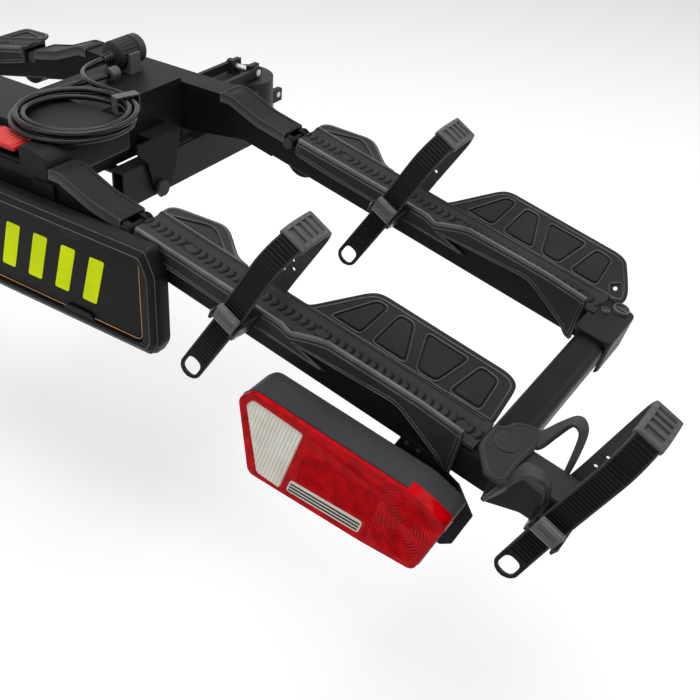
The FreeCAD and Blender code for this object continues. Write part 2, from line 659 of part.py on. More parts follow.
def horn(sign):
    middle = TUBE / 2
    foot = 12.0
    lean = ((foot, PLATE_LEVEL), (foot + 7, PLATE_LEVEL), (foot + 33, HORN_TOP), (foot + 29, HORN_TOP))
    reach = 2 * (TUBE + HORN_TOP)
    plate = prism_yz([(middle + sign * y, z) for y, z in lean], KNOB_X, BLOCK_END)
    side = prism_xz(before(WING_REACH, HORN_SIDE), -reach, reach)
    return plate.common(side).cut(prism_xz(before(WING_REACH, HORN_WINDOW), -reach, reach))


def end_cradle():
    block = soften(box(WING_REACH + SLIDING, BLOCK_END, -SHEET, TUBE + SHEET, TUBE_BOTTOM - 2, PLATE_LEVEL),
                   3, ALONG_X)
    plate = prism_xy(before(WING_REACH, CRADLE_PLATE), PLATE_LEVEL, PLATE_LEVEL + PLATE_THICK)
    stem = rod(3, V(KNOB_X, TUBE / 2 + 2.5, PLATE_LEVEL), ALONG_Z, PLATE_THICK)
    cradle = block.fuse([plate, horn(1), horn(-1)]).cut(stem)
    return moved(cradle, y=REAR_FACE).cut(extension_bar_space()).removeSplitter()


def extension_bar_space():
    return soften(box(WING_REACH, BLOCK_END - 4, REAR_FACE + BAR_GAP, REAR_FACE + TUBE - BAR_GAP,
                      TUBE_BOTTOM + BAR_GAP, TUBE_TOP - BAR_GAP), 2, ALONG_X)


def cradle_knob():
    level = PLATE_LEVEL + PLATE_THICK
    cap = rod(KNOB_R, V(KNOB_X, TUBE / 2 + 2.5, level + SLIDING), ALONG_Z, KNOB_CAP)
    stem = rod(3 - RUNNING, V(KNOB_X, TUBE / 2 + 2.5, PLATE_LEVEL), ALONG_Z, PLATE_THICK + 1)
    return moved(cap.fuse(stem).removeSplitter(), y=REAR_FACE)


def at_end(shape):
    return on_wing(at_strap(shape, REAR_FACE, END_STRAP_X, END_STRAP_LEAN), "right")


save("extension_bar", on_wing(extension_bar(), "right"))
save("end_cradle", on_wing(end_cradle(), "right"))
save("cradle_knob", on_wing(cradle_knob(), "right"))
save("extension_strap", at_end(strap(END_STRAP_TOP, END_TAIL)))
save("extension_pad", at_end(rim_pad(END_STRAP_TOP)))
save("extension_buckle", at_end(buckle()))
save("extension_ratchet", at_end(ratchet()))

# Caps over the arms: a bent moulding with a short skirt all along
CAP_START = 112.0


def arm_cap(face_y):
    top = [(CAP_START, ARM_TOP), (ARM_SHOULDER, ARM_TOP), TOP_BEND, SEAM_HIGH]
    over = [(CAP_START, ARM_TOP + CAP_WALL), (ARM_SHOULDER + 1, ARM_TOP + CAP_WALL),
            wing_point(-45, TUBE_TOP + CAP_WALL), wing_point(SEAM_TOP_X, TUBE_TOP + CAP_WALL)]
    under = [wing_point(SEAM_TOP_X - 3, TUBE_TOP - CAP_SKIRT), wing_point(-45, TUBE_TOP - CAP_SKIRT),
             (ARM_SHOULDER - 4, ARM_TOP - CAP_SKIRT), (CAP_START, ARM_TOP - CAP_SKIRT)]
    shell = prism_xz(over + under, face_y - CAP_OVERHANG, face_y + TUBE + CAP_OVERHANG)
    room = prism_xz(top + [(SEAM_HIGH[0], 0), (CAP_START, 0)], face_y, face_y + TUBE)
    return shell.cut(room)


caps = []
for face_y in (REAR_FACE, FRONT_FACE):
    cap = arm_cap(face_y)
    caps.append(cap)
    caps.append(mirrored(cap))
save("arm_covers", *caps)

# Spine: an upside-down channel between the crossmembers, with hinge ears outside the coupling rails
SPINE_BACK = REAR_FACE + TUBE
LEDGE_BACK = TILT_Y + 14.0
LEDGE_FRONT = FRONT_FACE - 8.0
EAR_START = RAIL_HALF + RAIL_WIDTH + 1.0
EAR_TOP = 62.0
EAR_FRONT = -222.0
EAR_OUTLINE = ((-300, EAR_TOP), (-300, 52), (-284, 36), (-272, -6), (-262, -18), (-250, -14), (-236, 8),
               (EAR_FRONT, EAR_TOP))
EAR_WEB = 6.0


def spine_beam():
    beam = box(-SPINE_HALF, SPINE_HALF, SPINE_BACK, FRONT_FACE, SPINE_LOW, SPINE_TOP)
    hollow = box(-SPINE_HALF + SPINE_WALL, SPINE_HALF - SPINE_WALL, SPINE_BACK + SPINE_WALL,
                 FRONT_FACE - SPINE_WALL, SPINE_LOW - 1, SPINE_TOP - SPINE_WALL)
    beam = beam.cut(hollow)
    half = [box(SPINE_HALF - 1, RAIL_HALF + RAIL_WIDTH, LEDGE_BACK, LEDGE_FRONT, SPINE_LOW, SPINE_LOW + 3),
            prism_yz(EAR_OUTLINE, EAR_START, EAR_START + EAR_THICK),
            box(SPINE_HALF - 1, EAR_START + EAR_THICK, TILT_Y - 10, EAR_FRONT, EAR_TOP - EAR_WEB, EAR_TOP)]
    pieces = half + [mirrored(piece) for piece in half]
    hole = rod(TILT_PIN_R + RUNNING, V(-100, TILT_Y, TILT_Z), ALONG_X, 200)
    return beam.fuse(pieces).cut(hole).removeSplitter()


save("spine_beam", spine_beam())

# Coupling: two rails, a cross box and the cup over the tow ball
LUG_START = 12.0
LUG_THICK = 7.5
LEVER_ARM = 6.0
GAP = SLIDING


def ball_space(radius, low):
    """A ball on a straight shank of the same radius, from its middle down."""
    slant = radius * math.sqrt(0.5)
    edges = [Part.makeLine(V(0, 0, radius), V(0, 0, low)),
             Part.makeLine(V(0, 0, low), V(radius, 0, low)),
             Part.makeLine(V(radius, 0, low), V(radius, 0, 0)),
             Part.Arc(V(radius, 0, 0), V(slant, 0, slant), V(0, 0, radius)).toShape()]
    return Part.Face(Part.Wire(edges)).revolve(ORIGIN, ALONG_Z, 360)


def coupling_frame():
    rail = box(RAIL_HALF, RAIL_HALF + RAIL_WIDTH, RAIL_BACK, RAIL_FRONT, RAIL_LOW, RAIL_TOP)
    bore = box(RAIL_HALF + 3, RAIL_HALF + RAIL_WIDTH - 3, RAIL_BACK - 1, RAIL_FRONT - 3, RAIL_LOW + 3, RAIL_TOP - 3)
    rail = rail.cut(bore)
    cross = box(-RAIL_HALF - 1, RAIL_HALF + 1, -150, -60, RAIL_LOW, 24)
    cross = cross.cut(box(-RAIL_HALF + 2, RAIL_HALF - 2, -147, -63, RAIL_LOW - 1, 21))
    neck = box(-HEAD_R + 3, HEAD_R - 3, -75, -12, HEAD_LOW, HEAD_TOP - 8)
    head = rod(HEAD_R, V(0, 0, HEAD_LOW), ALONG_Z, HEAD_TOP - HEAD_LOW)
    lugs = []
    for x in (LUG_START, -LUG_START - LUG_THICK):
        lugs.append(box(x, x + LUG_THICK, -10, 10, HEAD_TOP - 1, LEVER_Z + 10))
    for x in (JAW_HALF + GAP, -JAW_HALF - GAP - 8):
        lugs.append(box(x, x + 8, 22, JAW_PIN_Y + 8, 2, JAW_PIN_Z + 8))
    body = rail.fuse([mirrored(rail), cross, neck, head] + lugs)
    jaw_room = box(-JAW_HALF - GAP, JAW_HALF + GAP, 8, 70, HEAD_LOW - 1, JAW_PIN_Z + 9)
    pins = [rod(LEVER_PIN_R, V(-40, 0, LEVER_Z), ALONG_X, 80),
            rod(JAW_PIN_R, V(-40, JAW_PIN_Y, JAW_PIN_Z), ALONG_X, 80),
            rod(TILT_PIN_R, V(-100, TILT_Y, TILT_Z), ALONG_X, 200)]
    return body.cut([ball_space(BALL_R + RUNNING, HEAD_LOW - 1), jaw_room] + pins).removeSplitter()


save("coupling_frame", coupling_frame())
lever_pin_half = LUG_START + LUG_THICK + GAP + LEVER_ARM + 1
jaw_pin_half = JAW_HALF + GAP + 8
save("lever_pins",
     rod(LEVER_PIN_R, V(-lever_pin_half, 0, LEVER_Z), ALONG_X, 2 * lever_pin_half),
     rod(JAW_PIN_R, V(-jaw_pin_half, JAW_PIN_Y, JAW_PIN_Z), ALONG_X, 2 * jaw_pin_half))

tilt_pin_half = EAR_START + EAR_THICK + GAP
tilt_pin = rod(TILT_PIN_R, V(-tilt_pin_half, TILT_Y, TILT_Z), ALONG_X, 2 * tilt_pin_half)
for x in (tilt_pin_half, -tilt_pin_half - 5):
    tilt_pin = tilt_pin.fuse(rod(10, V(x, TILT_Y, TILT_Z), ALONG_X, 5))
save("tilt_pin", tilt_pin.removeSplitter())


def clamp_jaw():
    block = box(-JAW_HALF, JAW_HALF, 12, JAW_PIN_Y, HEAD_LOW, JAW_PIN_Z)
    barrel = rod(7, V(-JAW_HALF, JAW_PIN_Y, JAW_PIN_Z), ALONG_X, 2 * JAW_HALF)
    ball = Part.makeSphere(BALL_R + GAP)
    neck = rod(16, V(0, 0, HEAD_LOW), ALONG_Z, -HEAD_LOW)
    above = rod(BALL_R + GAP, ORIGIN, ALONG_Z, JAW_PIN_Z + 10)
    hole = rod(JAW_PIN_R + RUNNING, V(-JAW_HALF, JAW_PIN_Y, JAW_PIN_Z), ALONG_X, 2 * JAW_HALF)
    return block.fuse(barrel).cut([ball, neck, above, hole]).removeSplitter()


def clamp_lever():
    arm_x = LUG_START + LUG_THICK + GAP
    pieces = []
    for x in (arm_x, -arm_x - LEVER_ARM):
        pieces.append(rod(9, V(x, 0, LEVER_Z), ALONG_X, LEVER_ARM))
        pieces.append(box(x, x + LEVER_ARM, -LEVER_LENGTH, 0, LEVER_Z - 6, LEVER_Z + 6))
    grip = soften(box(-arm_x - LEVER_ARM, arm_x + LEVER_ARM, -LEVER_LENGTH - 16, -LEVER_LENGTH + 2,
                      LEVER_Z - 7, LEVER_Z + 9), 4, ALONG_X)
    hole = rod(LEVER_PIN_R + RUNNING, V(-40, 0, LEVER_Z), ALONG_X, 80)
    return grip.fuse(pieces).cut(hole).removeSplitter()


save("clamp_jaw", clamp_jaw())
save("clamp_lever", clamp_lever())

# Centre cover: a moulded shell over the rear crossmember and the spine's rear, slotted for the pedal
FAIRING_LOW = 86.0


def centre_cover():
    half = ((COVER_HALF - 6, COVER_TOP), (COVER_HALF + 5, COVER_TOP - 6), (CAP_START - 1, ARM_TOP + 3),
            (CAP_START - 1, FAIRING_LOW))
    outline = list(half) + [(-x, z) for x, z in reversed(half)]
    outside = prism_xz(outline, REAR_FACE - CAP_OVERHANG, COVER_FRONT)
    inside = inset_xz(outline, REAR_FACE - CAP_OVERHANG + COVER_WALL, COVER_FRONT - COVER_WALL, COVER_WALL)
    below = box(-COVER_HALF - 4, COVER_HALF + 4, REAR_FACE + TUBE + SLIDING, COVER_FRONT - COVER_WALL,
                FAIRING_LOW - 1, COVER_TOP - 12)
    beam = prism_xz([(-CAP_START, ARM_TOP), (CAP_START, ARM_TOP), (CAP_START, 0), (-CAP_START, 0)],
                    REAR_FACE - 10, REAR_FACE + TUBE + SLIDING)
    slot = box(-PEDAL_LUG_X - 6, PEDAL_LUG_X + 6, REAR_FACE - 10, PEDAL_PIN_Y + 8, ARM_TOP - 5, COVER_TOP + 5)
    spine = box(-SPINE_HALF, SPINE_HALF, REAR_FACE + TUBE, COVER_FRONT + 1, 0, SPINE_TOP)
    return outside.cut([inside, below, beam, slot, spine]).removeSplitter()


save("centre_cover", centre_cover())


# Release pedal, its pin is fixed in two lugs on the rear crossmember
def release_pedal():
    plate = soften(box(-PEDAL_HALF, PEDAL_HALF, PEDAL_REAR, PEDAL_PIN_Y, PEDAL_TOP - PEDAL_THICK, PEDAL_TOP),
                   2, ALONG_X)
    barrel = rod(PEDAL_BARREL_R, V(-PEDAL_HALF, PEDAL_PIN_Y, PEDAL_PIN_Z), ALONG_X, 2 * PEDAL_HALF)
    hole = rod(PEDAL_PIN_R + RUNNING, V(-PEDAL_HALF, PEDAL_PIN_Y, PEDAL_PIN_Z), ALONG_X, 2 * PEDAL_HALF)
    spring_room = box(-SPRING_HALF - 1, SPRING_HALF + 1, PEDAL_PIN_Y - 8, PEDAL_PIN_Y + 8,
                      PEDAL_PIN_Z - 8, PEDAL_PIN_Z + 5)
    return plate.fuse(barrel).cut([hole, spring_room]).removeSplitter()


SPRING_HALF = 12.0
save("release_pedal", release_pedal())
save("pedal_pin", pedal_pin)
spring = rod(PEDAL_PIN_R + 1.5, V(-SPRING_HALF, PEDAL_PIN_Y, PEDAL_PIN_Z), ALONG_X, 2 * SPRING_HALF)
save("pedal_spring", spring.cut(rod(PEDAL_PIN_R, V(-SPRING_HALF, PEDAL_PIN_Y, PEDAL_PIN_Z), ALONG_X,
                                    2 * SPRING_HALF)))

# Number plate holder on two brackets under the rear crossmember
HOLDER_HALF_OUTLINE = ((PLATE_HALF + 5, HOLDER_BOTTOM), (HOLDER_HALF, PLATE_LOW + 10),
                       (HOLDER_HALF, PLATE_HIGH - 20), (PLATE_HALF + 3, HOLDER_TOP))
HOLDER_OUTLINE = list(HOLDER_HALF_OUTLINE) + [(-x, z) for x, z in reversed(HOLDER_HALF_OUTLINE)]
PLATE_GAP = 0.4
PLATE_BACK = HOLDER_FRONT + 6.0
LIP = 3.0


def plate_holder():
    body = prism_xz(HOLDER_OUTLINE, HOLDER_FRONT, HOLDER_BACK)
    window = box(-PLATE_HALF + LIP, PLATE_HALF - LIP, HOLDER_FRONT - 1, PLATE_BACK,
                 PLATE_LOW + LIP + 2, PLATE_HIGH - LIP - 2)
    seat = box(-PLATE_HALF - PLATE_GAP, PLATE_HALF + PLATE_GAP, PLATE_BACK - PLATE_SHEET - PLATE_GAP, PLATE_BACK,
               PLATE_LOW - PLATE_GAP, PLATE_HIGH + PLATE_GAP)
    hollow = inset_xz(HOLDER_OUTLINE, PLATE_BACK + HOLDER_WALL, HOLDER_BACK, HOLDER_WALL)
    return body.cut([window, seat, hollow]).removeSplitter()


save("plate_holder", plate_holder())
save("number_plate", box(-PLATE_HALF, PLATE_HALF, PLATE_BACK - PLATE_SHEET, PLATE_BACK, PLATE_LOW, PLATE_HIGH))
brackets = []
for x in (BRACKET_X, -BRACKET_X - BRACKET_WIDTH):
    leg = box(x, x + BRACKET_WIDTH, REAR_FACE - 4, REAR_FACE, -35, 92)
    foot = box(x + 5, x + BRACKET_WIDTH - 5, PLATE_BACK + HOLDER_WALL, REAR_FACE - 4, -30, -10)
    head = box(x + 5, x + BRACKET_WIDTH - 5, PLATE_BACK + HOLDER_WALL, REAR_FACE - 4, 25, 45)
    brackets.append(leg.fuse([foot, head]).removeSplitter())
save("plate_brackets", *brackets)


# Cable: a coil of two layers, wound in and out again, with a lead at each end
def biarc(start, start_dir, end, end_dir):
    chord = end - start
    both = start_dir + end_dir
    lean = 2 * (1 - start_dir.dot(end_dir))
    reach = (-chord.dot(both) + math.sqrt(chord.dot(both) ** 2 + lean * chord.dot(chord))) / lean
    first = start + start_dir * reach
    second = end - end_dir * reach
    return arc(start, first, (first + second) * 0.5) + arc((first + second) * 0.5, second, end)


def arc(start, corner, end):
    middle = (start + end) * 0.5
    half = (end - start).Length / 2
    rise = (corner - middle).Length
    turn = math.atan2(rise, half)
    top = middle + (corner - middle) * (half * math.tan(turn / 2) / rise)
    return [Part.Arc(start, top, end)]


def coil_radius(turn):
    return COIL_OUTER - COIL_PITCH * min(turn, 2 * COIL_TURNS - turn)


def coil_height(turn):
    climb = min(max((turn - COIL_TURNS + 0.25) / 0.5, 0.0), 1.0)
    return COVER_TOP + CABLE_R + SLIDING + COIL_LAYER * climb * climb * (3 - 2 * climb)


COIL_START = math.pi
COIL_END_TURN = 2 * COIL_TURNS - 0.25


def coil_point(turn):
    angle = COIL_START + 2 * math.pi * turn
    radius = coil_radius(turn)
    return CABLE_COIL + V(radius * math.cos(angle), radius * math.sin(angle), coil_height(turn))


def coil_direction(turn):
    step = 0.001
    return (coil_point(turn + step) - coil_point(turn - step)).normalize()


def tube_along(edges, start, direction):
    ring = Part.Wire(Part.Circle(start, direction, CABLE_R).toShape())
    path = Part.Wire([edge.toShape() for edge in edges])
    return path.makePipeShell([ring], True, False)


def cable_coil():
    quarters = int(round(COIL_END_TURN * 4))
    edges = []
    first = coil_point(0)
    heading = V(0, -1, 0)
    edges.append(Part.LineSegment(first - heading * (2 * CABLE_R), first))
    here = first
    for quarter in range(1, quarters + 1):
        turn = quarter / 4
        ahead = coil_point(turn)
        after = V(-1, 0, 0) if quarter == quarters else coil_direction(turn)
        edges.extend(biarc(here, heading, ahead, after))
        here = ahead
        heading = after
    edges.append(Part.LineSegment(here, here + heading * (2 * CABLE_R)))
    begin = first + V(0, 2 * CABLE_R, 0)
    return tube_along(edges, begin, V(0, -1, 0)), begin, here + heading * (2 * CABLE_R)


def rounded_route(points):
    edges = []
    here = points[0]
    for before, point, after in zip(points, points[1:], points[2:]):
        arrive = (point - before).normalize()
        leave = (after - point).normalize()
        shorter = min((point - before).Length, (after - point).Length)
        half_turn = arrive.getAngle(leave) / 2
        reach = 0.45 * shorter
        print("lead bend radius", round(reach / math.tan(half_turn), 1))
        enter = point - arrive * reach
        exit_point = point + leave * reach
        edges.append(Part.LineSegment(here, enter))
        edges.extend(arc(enter, point, exit_point))
        here = exit_point
    edges.append(Part.LineSegment(here, points[-1]))
    return edges


coil, coil_begin, coil_end = cable_coil()
LEAD_LOW = SPINE_TOP + 10.0
PLUG_R = 18.0
PLUG_Z = SPINE_TOP + PLUG_R + 3
PLUG_LENGTH = 46.0
PLUG_NECK = 14.0
lead_in = [V(coil_begin.x, -262, LEAD_LOW), V(-1, -286, LEAD_LOW + 0.5), V(1, -320, coil_begin.z + 0.5),
           V(coil_begin.x, -352, coil_begin.z), coil_begin]
lead_out = [coil_end, V(22, coil_end.y, coil_end.z), V(-6, -302, coil_end.z - 1), V(-22, -274, PLUG_Z),
            V(-22, -250, PLUG_Z)]
save("cable_coil", coil)
save("cable_lead",
     tube_along(rounded_route(lead_in), lead_in[0], lead_in[1] - lead_in[0]),
     tube_along(rounded_route(lead_out), lead_out[0], lead_out[1] - lead_out[0]))
plug_start = lead_out[-1]
plug = rod(PLUG_R, plug_start + V(0, PLUG_NECK, 0), ALONG_Y, PLUG_LENGTH)
plug = plug.fuse(rod(CABLE_R + 3.5, plug_start, ALONG_Y, PLUG_NECK)).removeSplitter()
save("trailer_plug", plug)

# What holds the cable: a tie round the coil, the gland it leaves the spine by, and the plug's parking clip
TIE_TURN = 72.0
TIE_WIDTH = 12.0
TIE_WALL = 1.5
CLIP_LENGTH = 18.0


def coil_tie():
    inner_r = COIL_OUTER - COIL_PITCH * COIL_TURNS - CABLE_R - 2
    outer_r = COIL_OUTER + CABLE_R + 2
    low = COVER_TOP + SLIDING - 1
    high = coil_height(COIL_END_TURN) + CABLE_R + 1
    ring = box(inner_r - TIE_WALL, outer_r + TIE_WALL, -TIE_WIDTH / 2, TIE_WIDTH / 2, low - TIE_WALL, high + TIE_WALL)
    ring = ring.cut(box(inner_r, outer_r, -TIE_WIDTH, TIE_WIDTH, low, high))
    ring.rotate(ORIGIN, ALONG_Z, TIE_TURN)
    ring.translate(CABLE_COIL)
    return ring


def cable_gland():
    start = lead_in[0]
    heading = lead_in[1] - lead_in[0]
    nut = rod(8, start, heading * -1, 14)
    return nut.fuse(box(start.x - 6, start.x + 6, start.y + 2, start.y + 13, SPINE_TOP, start.z)).removeSplitter()


def plug_clip():
    middle = plug_start.y + PLUG_NECK + 12
    half = PLUG_R + 3
    clip = box(plug_start.x - half, plug_start.x + half, middle, middle + CLIP_LENGTH, SPINE_TOP, PLUG_Z + 4)
    return clip.cut(rod(PLUG_R, V(plug_start.x, middle, PLUG_Z), ALONG_Y, CLIP_LENGTH))


save("cable_fixings", coil_tie(), cable_gland(), plug_clip())


# The least gap between two turns of the coil, measured on points along it
def least_gap():
    steps = 48
    points = [coil_point(step / steps) for step in range(int(COIL_END_TURN * steps) + 1)]
    least = COIL_OUTER
    for first in range(len(points)):
        for second in range(first + steps // 2, len(points)):
            least = min(least, (points[first] - points[second]).Length - 2 * CABLE_R)
    return least


print("coil: least gap", round(least_gap(), 2), "volume", round(coil.Volume), "valid", coil.isValid())
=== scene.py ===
import math

import bmesh
import bpy
from mathutils import Matrix, Vector


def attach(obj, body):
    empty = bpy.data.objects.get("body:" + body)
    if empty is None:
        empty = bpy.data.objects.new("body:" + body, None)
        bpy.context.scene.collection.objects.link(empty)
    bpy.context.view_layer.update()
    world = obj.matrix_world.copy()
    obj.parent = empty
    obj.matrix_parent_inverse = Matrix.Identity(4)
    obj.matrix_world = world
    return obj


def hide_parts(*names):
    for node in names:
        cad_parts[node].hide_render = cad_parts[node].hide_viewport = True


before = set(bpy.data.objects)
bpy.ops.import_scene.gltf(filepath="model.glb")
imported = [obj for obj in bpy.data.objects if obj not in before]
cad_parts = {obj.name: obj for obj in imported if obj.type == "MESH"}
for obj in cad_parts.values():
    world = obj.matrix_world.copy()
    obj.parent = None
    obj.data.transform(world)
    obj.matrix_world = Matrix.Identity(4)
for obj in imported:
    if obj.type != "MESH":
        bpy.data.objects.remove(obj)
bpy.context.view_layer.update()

# The studio: a pale floor as far below the ball as a road is, a white surround, one large soft lamp
# above, a weaker one behind and one in front, and the camera at the angle of the photograph.
MM = 0.001
PICTURE_PX = 700
FOCAL_PX = 1062.4
SENSOR = 36.0
YAW = math.radians(30.60)
PITCH = math.radians(34.87)
ROLL = math.radians(-4.30)
CAMERA_AT = Vector((0.8913, -1.1550, 0.5974))
FARTHEST = 50
WHITE = (1, 1, 1, 1)
ROAD_BELOW = 0.40
FLOOR_REACH = 8.0
FLOOR_COLOUR = (0.82, 0.82, 0.82, 1)
FLOOR_ROUGH = 0.9
FLOOR_GLOSS = 0.1
FLOOR_GLOW = 0.32
SURROUND_SEEN = 1.0
SURROUND_LIGHT = 0.26
LAMPS = (
    ("lamp_above", (0.15, -0.35, 2.1), (0.25, -0.35, 0.0), 2.4, 54.0),
    ("lamp_behind", (1.9, 1.5, 1.5), (0.2, -0.3, 0.0), 1.6, 14.0),
    ("lamp_front", (-0.6, -2.4, 1.0), (0.2, -0.35, 0.0), 1.8, 9.0),
)


def show(name, data):
    shown = bpy.data.objects.new(name, data)
    bpy.context.scene.collection.objects.link(shown)
    return shown


look = Vector((-math.sin(YAW) * math.cos(PITCH), math.cos(YAW) * math.cos(PITCH), -math.sin(PITCH)))
level = Vector((math.cos(YAW), math.sin(YAW), 0))
down = look.cross(level)
to_right = level * math.cos(ROLL) + down * math.sin(ROLL)
to_bottom = down * math.cos(ROLL) - level * math.sin(ROLL)
camera = show("camera", bpy.data.cameras.new("camera"))
camera.data.sensor_width = SENSOR
camera.data.lens = SENSOR * FOCAL_PX / PICTURE_PX
camera.data.clip_end = FARTHEST
turn = Matrix((to_right, -to_bottom, -look)).transposed().to_4x4()
camera.matrix_world = Matrix.Translation(CAMERA_AT) @ turn
bpy.context.scene.camera = camera

for lamp_name, place, target, size, power in LAMPS:
    lamp = show(lamp_name, bpy.data.lights.new(lamp_name, "AREA"))
    lamp.data.shape = "SQUARE"
    lamp.data.size = size
    lamp.data.energy = power
    lamp.location = place
    lamp.rotation_euler = (Vector(target) - Vector(place)).to_track_quat("-Z", "Y").to_euler()


def seen_share(tree):
    """1 for rays that show the background, seen straight, in gloss or through glass, and 0 for the rest."""
    rays = tree.nodes.new("ShaderNodeLightPath")
    share = rays.outputs["Is Camera Ray"]
    for kind in ("Is Glossy Ray", "Is Transmission Ray"):
        either = tree.nodes.new("ShaderNodeMath")
        either.operation = "MAXIMUM"
        tree.links.new(share, either.inputs[0])
        tree.links.new(rays.outputs[kind], either.inputs[1])
        share = either.outputs[0]
    return share


world = bpy.data.worlds.new("surround")
world.use_nodes = True
bpy.context.scene.world = world
surround = world.node_tree.nodes["Background"]
surround.inputs["Color"].default_value = WHITE
surround_level = world.node_tree.nodes.new("ShaderNodeMapRange")
surround_level.inputs["To Min"].default_value = SURROUND_LIGHT
surround_level.inputs["To Max"].default_value = SURROUND_SEEN
world.node_tree.links.new(seen_share(world.node_tree), surround_level.inputs["Value"])
world.node_tree.links.new(surround_level.outputs[0], surround.inputs["Strength"])
bpy.context.scene.view_settings.view_transform = "Standard"

floor_mesh = bpy.data.meshes.new("floor")
floor_corners = [(-FLOOR_REACH, -FLOOR_REACH, 0), (FLOOR_REACH, -FLOOR_REACH, 0),
                 (FLOOR_REACH, FLOOR_REACH, 0), (-FLOOR_REACH, FLOOR_REACH, 0)]
floor_mesh.from_pydata(floor_corners, [], [(0, 1, 2, 3)])
floor = show("floor", floor_mesh)
floor.location = (0, 0, -ROAD_BELOW)
floor_paint = bpy.data.materials.new("floor_paint")
floor_paint.use_nodes = True
floor_shader = floor_paint.node_tree.nodes["Principled BSDF"]
floor_shader.inputs["Base Color"].default_value = FLOOR_COLOUR
floor_shader.inputs["Roughness"].default_value = FLOOR_ROUGH
floor_shader.inputs["Specular IOR Level"].default_value = FLOOR_GLOSS
floor_shader.inputs["Emission Color"].default_value = WHITE
floor_glow = floor_paint.node_tree.nodes.new("ShaderNodeMath")
floor_glow.operation = "MULTIPLY"
floor_glow.inputs[1].default_value = FLOOR_GLOW
floor_paint.node_tree.links.new(seen_share(floor_paint.node_tree), floor_glow.inputs[0])
floor_paint.node_tree.links.new(floor_glow.outputs[0], floor_shader.inputs["Emission Strength"])
floor_mesh.materials.append(floor_paint)


# Trailer cable: one glossy black round lead, out of the spine's gland, three and three quarter turns in
# two layers on the centre cover, and back to its plug, which is parked in a clip on the spine.
CABLE_THICK = 0.0065
COIL_CENTRE = (0.068, -0.386)
COIL_OUTER = 0.070
COIL_PITCH = 0.008
COIL_LAYER = 0.0074
COIL_LEVEL = 0.12555
COIL_TURNS = 3.75
CLIMB_FROM = 1.75
CLIMB_TURNS = 0.5
TURN_POINTS = 20
LEAD_IN = [(-0.002, -0.262, 0.120), (-0.001, -0.286, 0.1205), (0.001, -0.320, 0.12605), (-0.002, -0.352, 0.12555),
           (-0.002, -0.3795, 0.12555)]
LEAD_OUT = [(0.0615, -0.318, 0.13295), (0.022, -0.318, 0.13295), (-0.006, -0.302, 0.13195),
            (-0.022, -0.274, 0.131), (-0.022, -0.250, 0.131)]
CABLE_COLOUR = (0.006, 0.006, 0.0065)
ROUGH_SPREAD = 0.08
SMOOTHEST = 0.02
TONE_STOPS = (0.3, 0.7)
PATCH_DETAIL = 5
GRAIN_DETAIL = 2
# Where the painted edge highlight starts and where it is full, in mesh pointiness.
HIGHLIGHT_FROM = 0.53
HIGHLIGHT_FULL = 0.62
SHARP_EDGE = math.radians(38)


def finish(name, colour, roughness, metallic=0.0, grain=900.0, depth=0.05, mottle=0.2, patch=25.0, edge_highlight=0.0,
           gloss=0.5):
    """A material with fine surface grain, uneven colour and roughness, and painted highlights on its sharp edges.
    Depth is in mm.
    """
    material = bpy.data.materials.new(name)
    material.use_nodes = True
    nodes = material.node_tree.nodes
    links = material.node_tree.links
    shader = nodes["Principled BSDF"]
    shader.inputs["Metallic"].default_value = metallic
    shader.inputs["Specular IOR Level"].default_value = gloss
    place = nodes.new("ShaderNodeTexCoord")

    def noise(scale, detail):
        texture = nodes.new("ShaderNodeTexNoise")
        texture.inputs["Scale"].default_value = scale
        texture.inputs["Detail"].default_value = detail
        links.new(place.outputs["Object"], texture.inputs["Vector"])
        return texture.outputs["Fac"]

    def ranged(source, ends):
        spread = nodes.new("ShaderNodeMapRange")
        for socket, value in ends.items():
            spread.inputs[socket].default_value = value
        links.new(source, spread.inputs["Value"])
        return spread.outputs[0]

    patches = noise(patch, PATCH_DETAIL)
    tone = nodes.new("ShaderNodeValToRGB")
    for stop, position, change in zip(tone.color_ramp.elements, TONE_STOPS, (-mottle, mottle)):
        stop.position = position
        stop.color = [min(c * (1 + change), 1) for c in colour] + [1]
    links.new(patches, tone.inputs["Fac"])
    colour_out = tone.outputs["Color"]
    # Painted highlight: the colour turns paler on the mesh's sharp edges, standing in for light caught there.
    if edge_highlight:
        edges = nodes.new("ShaderNodeNewGeometry")
        pale = nodes.new("ShaderNodeMix")
        pale.data_type = "RGBA"
        pale.inputs["B"].default_value = [min(c + edge_highlight, 1) for c in colour] + [1]
        links.new(colour_out, pale.inputs["A"])
        sharp = ranged(edges.outputs["Pointiness"], {"From Min": HIGHLIGHT_FROM, "From Max": HIGHLIGHT_FULL})
        links.new(sharp, pale.inputs["Factor"])
        colour_out = pale.outputs["Result"]
    links.new(colour_out, shader.inputs["Base Color"])
    ends = {"To Min": max(roughness - ROUGH_SPREAD, SMOOTHEST), "To Max": min(roughness + ROUGH_SPREAD, 1)}
    links.new(ranged(patches, ends), shader.inputs["Roughness"])
    bump = nodes.new("ShaderNodeBump")
    bump.inputs["Distance"].default_value = depth * MM
    bump.inputs["Strength"].default_value = 1.0
    links.new(noise(grain, GRAIN_DETAIL), bump.inputs["Height"])
    links.new(bump.outputs["Normal"], shader.inputs["Normal"])
    return material


def moved(x=0, y=0, z=0):
    return Matrix.Translation((x, y, z))


def as_mesh(form, name):
    """The mesh of a form, smooth but for its sharp edges."""
    bmesh.ops.recalc_face_normals(form, faces=form.faces)
    mesh = bpy.data.meshes.new(name)
    form.to_mesh(mesh)
    form.free()
    for polygon in mesh.polygons:
        polygon.use_smooth = True
    mesh.set_sharp_from_angle(angle=SHARP_EDGE)
    return mesh


